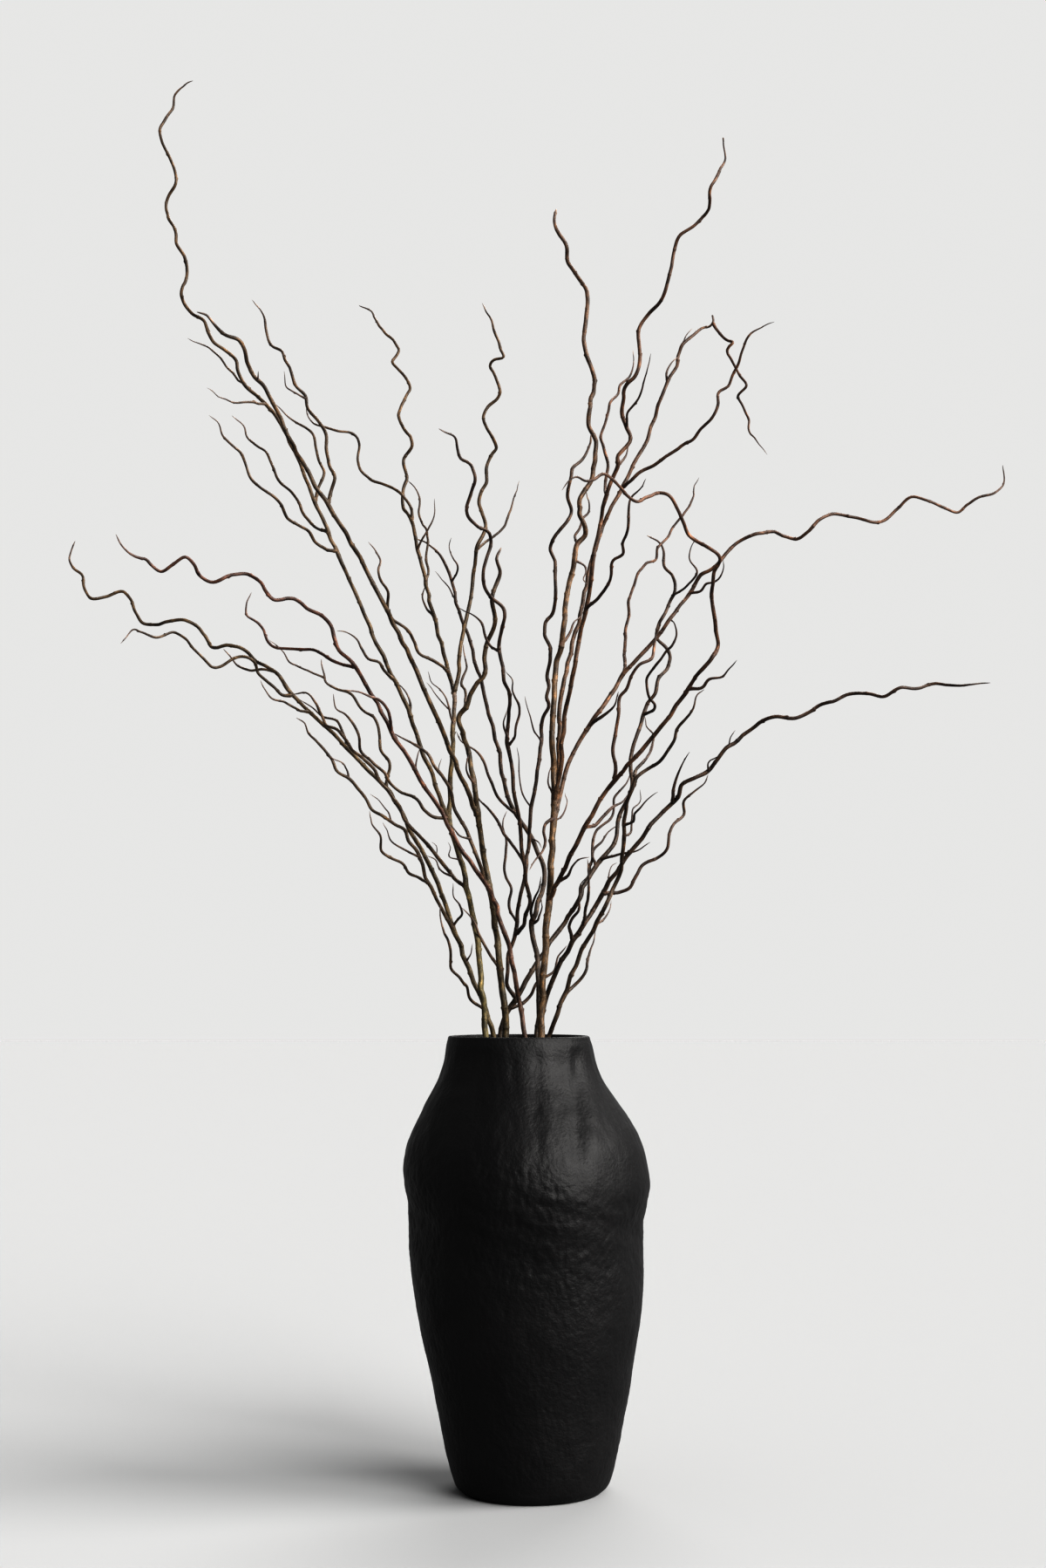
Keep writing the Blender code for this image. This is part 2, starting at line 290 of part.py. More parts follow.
DARK_CENTRE = [
    ("stem", None, 4.6, 1.2, 18.0, [
        (0.5, 38.3), (0.75, 41), (0.7, 43), (0.55, 44.6), (0.3, 46.3), (0.15, 47.8), (0.5, 49.2),
        (0.8, 50.4), (1.15, 51.6), (1.15, 52.7), (0.7, 53.9), (0.2, 55), (-0.5, 56.3), (-1.2, 57.4),
        (-1.8, 58.5), (-2.25, 59.9), (-2.55, 61.5), (-2.85, 63.2), (-3.3, 65), (-3.8, 67), (-4.3, 69),
        (-4.85, 70.8), (-5.2, 72.2), (-5.55, 73.6), (-6.1, 74.9), (-6.6, 76.4), (-6.95, 78),
        (-7.45, 79.3), (-8.1, 80.5), (-9.1, 81.3), (-10.2, 81.9)]),
    ("left_twig", "stem", 1.6, 0.8, 2.0, [
        (-1.3, 57.5), (-2.1, 58.1), (-3.1, 59.4), (-3.7, 60.8), (-4.1, 62.1), (-4.9, 63.1),
        (-6.0, 63.8), (-6.5, 64.7)]),
    ("pale_bud", "stem", 1.5, 0.7, -2.5, [
        (0.2, 48), (0.65, 48.2), (0.95, 49.1), (0.95, 50)]),
    ("left_prong", "stem", 1.5, 0.8, -3.5, [
        (0.15, 48.1), (0.0, 49), (0.3, 50.1), (0.75, 51), (0.9, 52)]),
    ("grey_tip", "stem", 1.1, 0.6, 22.0, [
        (-6.6, 76.2), (-7.1, 77.2), (-7.7, 78.1), (-8.4, 78.9)]),
    ("top_tip", "stem", 1.2, 0.6, 9.0, [
        (-6.9, 78), (-6.55, 78.8), (-6.45, 79.6), (-7.1, 80.6), (-7.25, 81.2), (-7.0, 81.9)]),
    ("thin_rise", "stem", 1.1, 0.6, 3.0, [
        (0.1, 55.4), (0.6, 55.1), (0.95, 54.5)]),
]

RED_BROWN = [
    ("stem", None, 5.8, 2.6, 13.0, [
        (0.85, 38.3), (0.95, 40.5), (1.1, 43), (1.25, 45.5), (1.4, 48), (1.6, 50.5), (1.75, 52.5),
        (1.9, 55), (2.0, 57.5), (2.05, 59.5), (1.95, 61.5), (1.88, 64), (1.95, 66.5), (2.15, 69),
        (2.35, 71), (2.75, 72.6), (2.9, 74.4), (3.15, 76.2), (3.5, 78.2), (3.85, 80), (4.15, 81.4),
        (4.8, 82.3), (4.75, 83.1), (4.4, 83.9), (4.3, 85), (4.7, 86), (5.3, 87), (5.65, 88.4),
        (5.8, 90), (5.6, 91.1), (5.15, 92.1), (5.15, 93.3), (5.5, 94.8), (5.75, 96), (5.4, 97.2),
        (4.95, 98.4), (4.65, 99.9), (4.95, 101.6), (5.15, 103.3), (4.9, 104.5), (4.0, 105.8),
        (3.35, 107), (3.25, 108.4), (2.6, 109.5), (2.15, 110.7), (2.3, 111.7)]),
    ("broken_arm", "stem", 3.6, 1.8, 21.0, [
        (2.1, 58.8), (2.35, 61), (2.5, 63.5), (2.55, 66.5), (2.9, 69.2), (3.4, 71.4), (3.9, 73.3),
        (4.4, 75.2), (4.8, 77.2), (5.3, 79.3), (5.8, 81.2), (6.4, 82.9), (7.1, 84.5), (7.9, 86),
        (8.7, 87.5), (9.5, 89.1), (10.3, 90.8), (11.0, 92.7), (11.7, 94.7), (12.2, 96.1), (13.0, 97.5),
        (13.2, 98.6), (13.5, 99.4), (14.4, 100.1), (15.3, 100.9), (15.9, 101), (16.25, 101.4),
        (16.2, 102)]),
    ("droop", "broken_arm", 1.7, 0.6, 17.0, [
        (16.2, 101.4), (16.6, 100.6), (17.3, 99.9), (17.95, 99.5), (17.5, 98.9), (17.9, 98), (18.6, 96.6),
        (19.15, 95.5), (18.4, 94.7), (18.9, 93.5), (19.35, 92.5), (19.35, 91.6), (20.1, 90.5),
        (20.95, 89.4)]),
    ("curled_top", "stem", 3.4, 1.0, -14.0, [
        (2.3, 58.6), (2.6, 61.5), (2.75, 64), (3.05, 66.2), (3.45, 68.4), (3.8, 70.4), (4.25, 72.6),
        (4.75, 74.8), (5.1, 77), (5.4, 79.4), (5.8, 81.6), (6.3, 83.9), (6.8, 86), (7.3, 87.4),
        (7.8, 88.5), (7.7, 89.3), (8.5, 90.1), (8.85, 91), (8.5, 92), (8.05, 93), (8.3, 94.5),
        (8.4, 95.4), (9.3, 96.5), (9.65, 97.7), (9.7, 99.4), (9.7, 100.8), (10.4, 102.1), (11.5, 103.2),
        (12.15, 104.5), (12.5, 106.2), (12.8, 108), (13.3, 109.2), (14.5, 110.2), (15.6, 111.2),
        (16.0, 112.4), (16.15, 113.9), (17.0, 115.2), (17.5, 116.5), (17.3, 118.3)]),
    ("far_right", "stem", 3.2, 0.9, 10.0, [
        (2.15, 56.8), (2.6, 59), (3.1, 61.1), (3.9, 63.1), (5.0, 65.1), (6.1, 66.6), (7.3, 68.4),
        (8.2, 69.8), (9.1, 70.8), (10.1, 71.9), (11.2, 73.2), (12.2, 74.6), (13.3, 76), (14.2, 77.2),
        (15.0, 78.5), (16.2, 79.3), (17.1, 80.2), (18.2, 81.4), (19.8, 82.2), (21.1, 82.45),
        (22.4, 82.15), (23.5, 81.9), (24.4, 82.5), (25.5, 83.5), (26.7, 84.1), (28.2, 83.85),
        (30.1, 83.3), (31.3, 83.45), (32.5, 84.6), (33.7, 85.5), (35.0, 85.2), (36.6, 84.55),
        (37.8, 84.2), (38.8, 84.9), (39.8, 85.65), (41.1, 86), (41.9, 87), (41.8, 88.4)]),
    ("under_branch", "far_right", 1.8, 0.9, -4.0, [
        (5.1, 65.2), (6.3, 66.1), (7.3, 67), (7.7, 68.2)]),
    ("bent_over", "stem", 3.3, 0.8, -24.0, [
        (1.7, 50), (2.4, 51.6), (3.2, 53.3), (4.0, 54.9), (4.8, 56.6), (5.7, 58.1), (6.7, 59.6),
        (7.8, 61), (9.0, 62.3), (10.2, 63.7), (11.3, 65), (12.3, 66.4), (13.2, 67.6), (14.1, 68.9),
        (15.0, 70.2), (15.9, 71.1), (16.4, 72.1), (16.35, 73.6), (16.15, 75.2), (15.95, 77),
        (16.15, 78.6), (16.65, 79.9), (16.2, 80.7), (15.0, 81.3), (14.0, 82.1), (13.4, 83.3),
        (12.9, 84.5), (12.2, 85.6), (11.3, 85.95), (10.3, 85.6), (9.3, 85.1), (8.5, 85.6), (7.8, 86.5),
        (7.1, 87.3), (6.4, 87.6), (5.6, 87.1), (4.9, 87.05), (4.2, 87.45), (3.5, 87.1), (2.8, 86.2)]),
    ("right_rise", "bent_over", 1.9, 0.9, -9.0, [
        (7.3, 60.4), (7.45, 61.8), (7.25, 63.1), (7.4, 64.7), (7.65, 66.3), (7.75, 67.7), (8.5, 68.6),
        (8.9, 69.6), (9.5, 70.5), (10.6, 71.1), (10.8, 72.1), (11.0, 73.2), (11.5, 74.6), (11.9, 75.5)]),
    ("wander", "far_right", 1.8, 0.7, 19.0, [
        (8.1, 69.7), (8.3, 71), (8.25, 72.4), (8.4, 73.8), (8.7, 75), (8.6, 76.4), (9.1, 77.6),
        (9.5, 78.8), (10.2, 79.6), (11.1, 80), (11.3, 81.1), (12.2, 82.1), (12.6, 83), (13.5, 84.1),
        (14.2, 84.9), (14.45, 86.2), (14.9, 87.3)]),
    ("small_fork", "far_right", 1.4, 0.7, 1.5, [
        (14.2, 76.9), (15.0, 77.1), (15.5, 77.8), (16.5, 78.2), (16.9, 79), (17.0, 79.9)]),
    ("step_tip", "bent_over", 1.6, 0.7, -30.0, [
        (14.1, 68.3), (15.0, 68.6), (15.7, 69.3), (16.9, 69.45), (17.5, 70.2), (18.1, 71)]),
    ("low_arm", "bent_over", 1.6, 0.9, -8.0, [
        (2.5, 51.6), (3.2, 52), (3.7, 52.9), (4.3, 53.5), (5.1, 53.7)]),
    ("mid_arm", "bent_over", 1.9, 1.0, -2.0, [
        (4.8, 56.3), (5.5, 56.5), (6.3, 57.2), (7.2, 58.1), (8.2, 58.7), (8.8, 59.5)]),
    ("long_side", "broken_arm", 2.2, 0.7, 7.0, [
        (8.1, 86.4), (8.9, 87.1), (9.6, 87.7), (10.9, 88.4), (12.2, 89.3), (13.3, 90.1), (14.4, 90.7),
        (15.1, 91.8), (16.1, 92.8), (16.6, 93.8), (16.6, 94.9), (17.5, 95.6), (17.9, 96.5),
        (18.5, 97.6), (18.9, 98.8), (19.4, 100), (20.3, 100.8), (21.7, 101.4)]),
    ("step_rise", "curled_top", 1.6, 0.7, 5.0, [
        (6.4, 85.4), (6.7, 87), (6.85, 88.4), (6.5, 90), (6.3, 91), (6.7, 92.3), (7.0, 93.4),
        (7.1, 94.1), (7.8, 94.8), (7.9, 95.6), (8.8, 96.4), (9.1, 97.3), (9.1, 98.8)]),
    ("thin_side", "curled_top", 1.2, 0.6, -20.0, [
        (8.7, 92), (8.65, 93.1), (9.3, 94), (9.9, 95.3), (10.2, 96.8), (10.7, 98.5)]),
    ("stub", "curled_top", 1.7, 1.2, -3.0, [
        (8.0, 88.4), (8.5, 89.3), (8.65, 90.2)]),
    ("short_side", "broken_arm", 1.5, 0.9, 19.5, [
        (12.2, 96), (12.05, 96.9), (12.5, 97.7), (13.1, 98.2)]),
    ("short_tip", "broken_arm", 1.1, 0.6, 24.0, [(13.3, 99.3), (13.8, 100.1), (14.4, 100.8)]),
    ("right_step", "curled_top", 1.6, 0.7, -24.0, [
        (5.1, 75.6), (5.8, 76.4), (6.6, 77.4), (7.0, 78.5), (7.2, 79.7), (8.1, 80.5), (8.15, 81.6),
        (8.6, 82.8), (8.75, 84.3), (8.9, 85.3), (9.6, 86.2), (10.2, 87.2)]),
    ("strut", "stem", 1.7, 1.1, 6.0, [
        (2.75, 72.4), (3.3, 73.2), (3.8, 74.3), (4.4, 74.9)]),
    ("left_ring", "stem", 1.4, 0.8, 12.0, [
        (4.1, 81.3), (3.95, 82), (4.3, 82.7), (4.55, 83.5), (5.1, 84.1), (5.1, 85.2), (4.9, 86.2)]),
    ("small_loop", "stem", 1.4, 0.8, 5.0, [
        (4.0, 79.9), (4.7, 79.4), (4.85, 78.8), (4.65, 78.2), (5.0, 77.7)]),
    ("low_ring", "stem", 1.5, 0.9, -4.5, [
        (1.9, 57.1), (1.35, 56.7), (1.1, 56), (1.25, 55), (1.0, 54.2), (0.5, 53.6), (-0.1, 52.6)]),
    ("side_ring", "stem", 1.2, 0.8, 5.0, [
        (2.0, 59), (1.6, 60), (1.65, 60.9), (1.85, 61.8)]),
    ("low_wisp", "far_right", 1.1, 0.6, 6.0, [
        (2.3, 56.6), (2.7, 57.3), (3.1, 58.4), (3.0, 59.3)]),
]

LOW_RIGHT = [
    ("stem", None, 4.0, 1.0, -9.0, [
        (0.7, 38.3), (1.1, 41), (1.95, 43.2), (3.0, 45.3), (3.6, 46.4), (4.6, 47.9), (5.4, 49.2),
        (6.2, 50.5), (7.2, 52.1), (8.2, 53.5), (9.3, 54.9), (10.4, 56.3), (11.4, 57.5), (12.3, 58.4),
        (12.9, 59.1), (13.3, 60.1), (14.2, 60.65), (15.5, 61.2), (16.2, 62), (17.0, 63.2), (18.2, 63.95),
        (19.2, 64.8), (20.1, 65.6), (21.4, 65.95), (23.2, 65.8), (24.4, 66.4), (25.4, 67.1),
        (26.5, 67.3), (27.7, 67.95), (29.5, 68), (31.0, 67.85), (32.3, 68.5), (33.8, 68.5), (35.2, 68.85),
        (38.0, 68.75), (40.3, 69)]),
    ("low_wave", "stem", 1.9, 0.9, 3.0, [
        (6.7, 50.2), (7.8, 50.75), (8.7, 51.1), (9.1, 52), (9.6, 52.9), (11.0, 53.6), (11.8, 54.4),
        (12.05, 55.8), (12.6, 56.7), (13.4, 57.4), (13.45, 58.6), (14.4, 59.5), (15.2, 60.2),
        (15.5, 60.9)]),
    ("left_wave", "stem", 1.7, 0.9, -1.0, [
        (3.6, 46.5), (3.35, 47.5), (3.6, 48.3), (4.2, 49.1), (4.25, 50.2), (4.4, 51.4)]),
    ("straight_side", "stem", 1.7, 0.9, -7.0, [
        (4.75, 47.7), (4.85, 49.4), (4.95, 51), (5.0, 52.4), (4.95, 53.5)]),
    ("upper_tip", "stem", 1.7, 0.7, -12.0, [
        (12.4, 58.5), (12.5, 59.7), (12.8, 60.9), (13.3, 62), (13.9, 62.9)]),
    ("small_eye", "stem", 1.1, 0.8, -3.0, [
        (15.5, 61.3), (15.5, 61.9), (16.0, 62.3), (16.5, 62.6)]),
    ("end_wisp", "stem", 1.0, 0.6, -8.0, [(17.3, 63.5), (17.5, 64.2), (17.9, 64.8)]),
    ("grey_side", "stem", 1.1, 0.6, 6.0, [
        (6.7, 51.3), (6.8, 52.2), (7.05, 53), (7.5, 53.2)]),
]

OUTER_RIGHT = [
    ("stem", None, 3.4, 0.9, -14.0, [
        (1.55, 38.3), (2.3, 40.2), (3.0, 42), (3.6, 43.6), (4.3, 45.2), (5.0, 46.6), (5.7, 48), (6.5, 49.5),
        (7.2, 51), (7.75, 52.5), (8.0, 54), (8.1, 55.7), (8.2, 57.2), (8.4, 58.4), (8.9, 59.5),
        (9.3, 60.6), (10.2, 61.4), (11.2, 62), (12.0, 63.1), (12.5, 64), (12.75, 65), (13.6, 65.8),
        (14.2, 66.5), (14.5, 67.7), (15.2, 68.4)]),
    ("low_twig", "stem", 1.7, 0.9, 1.5, [
        (3.0, 41.8), (3.7, 42.5), (4.9, 44), (5.0, 45.2), (5.5, 46.3), (5.6, 47.3)]),
    ("small_side", "stem", 1.4, 0.6, 2.0, [
        (5.75, 47.9), (6.4, 48.3), (6.85, 49.1), (7.0, 49.9)]),
    ("grey_tip", "stem", 1.3, 0.6, -16.0, [
        (8.2, 56.5), (8.8, 56.8), (9.2, 57.7), (10.2, 58.8), (11.1, 59.4)]),
    ("small_ring", "stem", 1.2, 0.6, -3.0, [
        (8.15, 55.5), (8.8, 55.9), (8.85, 57), (8.9, 57.9), (9.5, 58.6), (9.55, 59.6)]),
    ("upper_wave", "stem", 1.7, 0.8, -1.5, [
        (9.0, 59.9), (9.1, 61.2), (9.7, 62), (10.3, 62.7), (10.6, 63.6)]),
]

# name of the node, its shoots, depth at the mouth, and the way through the inside of the
# vase from the cut end up: (x, y, z), where the first two points stand on the floor
BRANCHES = [
    ("branch_olive_left", OLIVE_LEFT, -3.9, [(-2.2, -2.6, 0), (-2.2, -2.6, 2.0), (-3.2, -3.6, 22)]),
    ("branch_thin_red", THIN_RED, -4.7, [(2.9, -1.6, 0), (2.9, -1.6, 2.0), (2.2, -3.9, 22)]),
    ("branch_far_left", FAR_LEFT, 3.4, [(3.4, 1.2, 0), (3.4, 1.2, 2.0), (-0.3, 2.6, 22)]),
    ("branch_brown_left", BROWN_LEFT, -0.6, [(-1.2, 2.2, 0), (-1.2, 2.2, 2.0), (-1.4, 1.4, 22)]),
    ("branch_dark_crossing", DARK_CROSSING, 4.6, [(-4.2, 0.3, 0), (-4.2, 0.3, 2.0), (-5.3, 1.6, 20)]),
    ("branch_dark_centre", DARK_CENTRE, 1.2, [(0.2, -3.9, 0), (0.2, -3.9, 2.0), (-0.1, -2.4, 22)]),
    ("branch_red_brown", RED_BROWN, -2.8, [(1.6, -3.2, 0), (1.6, -3.2, 2.0), (0.9, -4.6, 20)]),
    ("branch_low_right", LOW_RIGHT, 4.3, [(-2.9, 2.8, 0), (-2.9, 2.8, 2.0), (-2.6, 4.4, 22)]),
    ("branch_outer_right", OUTER_RIGHT, -0.5, [(-3.2, -1.0, 0), (-3.2, -1.0, 2.0), (-3.2, -0.6, 22)]),
]

MATERIALS = {
    "vase": ((0.012, 0.012, 0.012, 1.0), 0.62),
    "branch_olive_left": ((0.11, 0.085, 0.030, 1.0), 0.55),
    "branch_thin_red": ((0.075, 0.022, 0.018, 1.0), 0.50),
    "branch_far_left": ((0.080, 0.055, 0.025, 1.0), 0.55),
    "branch_brown_left": ((0.070, 0.050, 0.028, 1.0), 0.60),
    "branch_dark_crossing": ((0.035, 0.024, 0.018, 1.0), 0.58),
    "branch_dark_centre": ((0.030, 0.022, 0.018, 1.0), 0.58),
    "branch_red_brown": ((0.105, 0.045, 0.022, 1.0), 0.52),
    "branch_low_right": ((0.040, 0.028, 0.020, 1.0), 0.58),
    "branch_outer_right": ((0.034, 0.024, 0.018, 1.0), 0.58),
}


# --- shoots to routes ------------------------------------------------------------------
def run_lengths(bends):
    """Distance along the front-view line to each bend, in cm."""
    run = [0.0]
    for a, b in zip(bends, bends[1:]):
        run.append(run[-1] + math.hypot(b[0] - a[0], b[1] - a[1]))
    return run


def curl_at(bends, i):
    """Size of the zigzag at one bend, in cm."""
    if i == 0 or i == len(bends) - 1:
        return 0.0
    dx = bends[i - 1][0] - 2 * bends[i][0] + bends[i + 1][0]
    dz = bends[i - 1][1] - 2 * bends[i][1] + bends[i + 1][1]
    return math.hypot(dx, dz) / 4


def sway_at(start, run):
    """Slow waves of a shoot in depth, in cm. Each shoot's waves begin at a place of their own."""
    wave = sum(size * math.sin(math.tau * run / length + 5 * start[0] + 3 * start[1])
               for size, length in zip(SWAY, SWAY_LENGTH))
    return wave * min(1.0, run / 4)


def nearest_on(line, mark):
    """The place on a parent's line nearest to a front-view mark: (x, z, depth, width)."""
    best = None
    for a, b in zip(line, line[1:]):
        ax, az = b[0] - a[0], b[1] - a[1]
        size = ax * ax + az * az
        t = ((mark[0] - a[0]) * ax + (mark[1] - a[1]) * az) / size
        t = min(1.0, max(0.0, t))
        spot = [p + (q - p) * t for p, q in zip(a, b)]
        away = math.hypot(spot[0] - mark[0], spot[1] - mark[1])
        if best is None or away < best[0]:
            best = (away, spot)
    return best[1]


def front_lines(shoots, mouth_depth):
    """Every shoot as a list of (x, z, depth, width) in the front view."""
    lines = {}
    for name, parent, wide, narrow, tip_depth, bends in shoots:
        bends = list(bends)
        depth = mouth_depth
        if parent is not None:
            spot = nearest_on(lines[parent], bends[0])
            bends[0] = (spot[0], spot[1])
            depth = spot[2]
        runs = run_lengths(bends)
        furthest = STEEPEST * runs[-1]
        reach = min(furthest, max(-furthest, tip_depth - depth))
        bow = STEM_BOW if parent is None else TWIG_BOW
        line = []
        for i, run in enumerate(runs):
            t = run / runs[-1]
            turn = CURL_TURN[i % 4] * CURL * curl_at(bends, i) + sway_at(bends[0], run)
            line.append((bends[i][0], bends[i][1], depth + reach * t ** bow + turn,
                         wide + (narrow - wide) * t))
        lines[name] = line
    return lines


def seen_from_front(x, z, depth):
    """World position, in metres, of a front-view point that is moved to a depth."""
    flat = Vector((x * CM, 0, z * CM))
    spot = EYE + (flat - EYE) * ((depth * CM - EYE.y) / -EYE.y)
    if z < MOUTH_Z + 1:
        spot.z = flat.z
    return spot


def branch_routes(shoots, mouth_depth, inside):
    """World routes of a branch: a list of (points in metres, widths in mm)."""
    routes = []
    for name, line in front_lines(shoots, mouth_depth).items():
        points = [seen_from_front(x, z, d) for x, z, d, w in line]
        widths = [max(w, LEAST_WIDTH) for x, z, d, w in line]
        if name == "stem":
            hidden = [Vector((x * CM, y * CM, max(z, FLOOR_Z + FOOT_GAP) * CM)) for x, y, z in inside]
            points = hidden + points
            widths = [widths[0] * 1.12, widths[0] * 1.1, widths[0] * 1.05] + widths
        routes.append((name, points, widths))
    return routes


# --- Blender helpers -------------------------------------------------------------------
def clear_scene():
    for obj in list(bpy.data.objects):
        bpy.data.objects.remove(obj, do_unlink=True)


def new_collection(name):
    group = bpy.data.collections.new(name)
    bpy.context.scene.collection.children.link(group)
    return group


def plain_material(name):
    colour, roughness = MATERIALS[name]
    mat = bpy.data.materials.new(name)
    mat.use_nodes = True
    shader = mat.node_tree.nodes["Principled BSDF"]
    shader.inputs["Base Color"].default_value = colour
    shader.inputs["Roughness"].default_value = roughness
    return mat


def mesh_of(obj):
    """The object's shape with its modifiers, as a new welded mesh."""
    bpy.context.view_layer.update()
    evaluated = obj.evaluated_get(bpy.context.evaluated_depsgraph_get())
    mesh = bpy.data.meshes.new_from_object(evaluated)
    work = bmesh.new()
    work.from_mesh(mesh)
    bmesh.ops.remove_doubles(work, verts=work.verts, dist=1e-6)
    bmesh.ops.recalc_face_normals(work, faces=work.faces)
    work.to_mesh(mesh)
    work.free()
    return mesh


def tube(name, points, widths, group):
    """A round tapered tube with closed ends along a route."""
    curve = bpy.data.curves.new(name, "CURVE")
    curve.dimensions = "3D"
    curve.bevel_depth = MM / 2
    curve.bevel_resolution = STEM_SIDES if widths[0] >= STEM_WIDTH else TWIG_SIDES
    curve.use_fill_caps = True
    spline = curve.splines.new("POLY")
    spline.points.add(len(points) - 1)
    for place, point, width in zip(spline.points, points, widths):
        place.co = (point.x, point.y, point.z, 1.0)
        place.radius = width
    drawn = bpy.data.objects.new(name + "_line", curve)
    group.objects.link(drawn)
    mesh = mesh_of(drawn)
    solid = bpy.data.objects.new(name, mesh)
    solid.matrix_world = drawn.matrix_world
    solid.display_type = "WIRE"
    group.objects.link(solid)
    bpy.data.objects.remove(drawn, do_unlink=True)
    return solid


def finished(name, mesh, group):
    mesh.name = name
    mesh.materials.clear()
    mesh.materials.append(plain_material(name))
    obj = bpy.data.objects.new(name, mesh)
    group.objects.link(obj)
    return obj


# --- vase ------------------------------------------------------------------------------
def lumps_at(bearing, z):
    total = 0.0
    for middle, height, spread, tall, out in VASE_LUMPS:
        turn = (bearing - middle + 180) % 360 - 180
        total += out * math.exp(-(turn / spread) ** 2 - ((z - height) / tall) ** 2)
    return total


def side_extents(z):
    """Left and right edges of the vase at a height, in cm."""
    if z <= VASE_SIDES[0][0]:
        return VASE_SIDES[0][1:]
    for low, high in zip(VASE_SIDES, VASE_SIDES[1:]):
        if z <= high[0]:
            t = (z - low[0]) / (high[0] - low[0])
            return (low[1] + (high[1] - low[1]) * t, low[2] + (high[2] - low[2]) * t)
    return VASE_SIDES[-1][1:]


def vase_radius(bearing, z):
    """Distance of the outside from the leaning axis, in cm."""
    left, right = side_extents(z)
    axis = LEAN * z
    mean = (right - left) / 2
    turn = math.cos(math.radians(bearing))
    radius = mean
    if turn > 0:
        radius += (right - axis - mean) * turn * turn
    else:
        radius += (axis - left - mean) * turn * turn
    return radius + lumps_at(bearing, z)


def vase_profile():
    """Profile (radius, height) in cm: floor inside, inner wall, rim, outer wall, base."""
    inner_heights = [FLOOR_Z, FLOOR_Z + 0.5, 3.0, 7.0, 12.0, 17.0, 21.0, 24.5, 27.5, 30.0, 32.0,
                     34.0, 36.0, 37.6]
    profile = [(0.0, FLOOR_Z), (2.5, FLOOR_Z), (vase_mean(1.2) - WALL - 0.5, FLOOR_Z)]
    profile += [(vase_mean(max(z, 1.2)) - WALL, z) for z in inner_heights[1:]]
    top = vase_mean(37.85)
    profile += [(top - WALL + 0.17, RIM_TOP - 0.05), (top - 0.22, RIM_TOP)]
    profile += [(vase_mean(row[0]), row[0]) for row in reversed(VASE_SIDES)]
    profile += [(FOOT_FLAT, 0.0), (2.5, 0.0), (0.0, 0.0)]
    return profile


def vase_mean(z):
    left, right = side_extents(z)
    return (right - left) / 2


def shape_vase(mesh):
    """Push a turned mesh into the leaning, lumpy, hand-formed shape."""
    for vert in mesh.vertices:
        z = vert.co.z / CM
        radius = math.hypot(vert.co.x, vert.co.y) / CM
        if radius < 0.01:
            vert.co.x += LEAN * z * CM
            continue
        bearing = math.degrees(math.atan2(vert.co.y, vert.co.x))
        if z > 0.05:
            change = vase_radius(bearing, z) - vase_mean(z)
            reach = min(1.0, radius / 4.5)
            lumps = lumps_at(bearing, z)
            inner = radius < vase_mean(z) - WALL / 2
            radius += (change - 0.5 * lumps if inner else change) * reach
        angle = math.radians(bearing)
        vert.co.x = (LEAN * z + radius * math.cos(angle)) * CM
        vert.co.y = radius * math.sin(angle) * CM


def build_vase(group, helpers):
    work = bmesh.new()
    verts = [work.verts.new((r * CM, 0, z * CM)) for r, z in vase_profile()]
    for a, b in zip(verts, verts[1:]):
        work.edges.new((a, b))
    outline = bpy.data.meshes.new("vase_outline")
    work.to_mesh(outline)
    work.free()
    turned = bpy.data.objects.new("vase_turned", outline)
    turned.display_type = "WIRE"
    helpers.objects.link(turned)
    screw = turned.modifiers.new("turn", "SCREW")
    screw.steps = VASE_STEPS
    screw.render_steps = VASE_STEPS
    screw.use_merge_vertices = True
    screw.merge_threshold = 0.00005
    mesh = mesh_of(turned)
    shape_vase(mesh)
    bpy.data.objects.remove(turned, do_unlink=True)
    return finished("vase", mesh, group)


# --- branches --------------------------------------------------------------------------
def build_branch(name, shoots, mouth_depth, inside, group, helpers):
    """One branch: its stem with every shoot joined to it as one solid."""
    tubes = []
    for shoot, points, widths in branch_routes(shoots, mouth_depth, inside):
        tubes.append(tube(name + "_" + shoot, points, widths, helpers))
    stem = tubes[0]
    for other in tubes[1:]:
        join = stem.modifiers.new(other.name, "BOOLEAN")
        join.operation = "UNION"
        join.solver = "EXACT"
        join.object = other
    mesh = mesh_of(stem)
    for obj in tubes:
        bpy.data.objects.remove(obj, do_unlink=True)
    return finished(name, mesh, group)


def main():
    clear_scene()
    group = new_collection("willow_branches_in_vase")
    helpers = new_collection("helpers")
    helpers.hide_render = True
    build_vase(group, helpers)
    for name, shoots, mouth_depth, inside in BRANCHES:
        build_branch(name, shoots, mouth_depth, inside, group, helpers)


main()
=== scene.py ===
"""Willow branches in a vase: the visual model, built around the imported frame.

The outline of the vase is the one in part.py, and so are the shoots, with nine more fine twigs.
Here every shoot is a smooth tapering tube with bark and buds, and the vase has its hammered skin,
the folds of its neck and a soft swelling of its front.
"""
import json
import math
import random

import bpy
import numpy as np
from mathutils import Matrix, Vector, noise
from mathutils.kdtree import KDTree

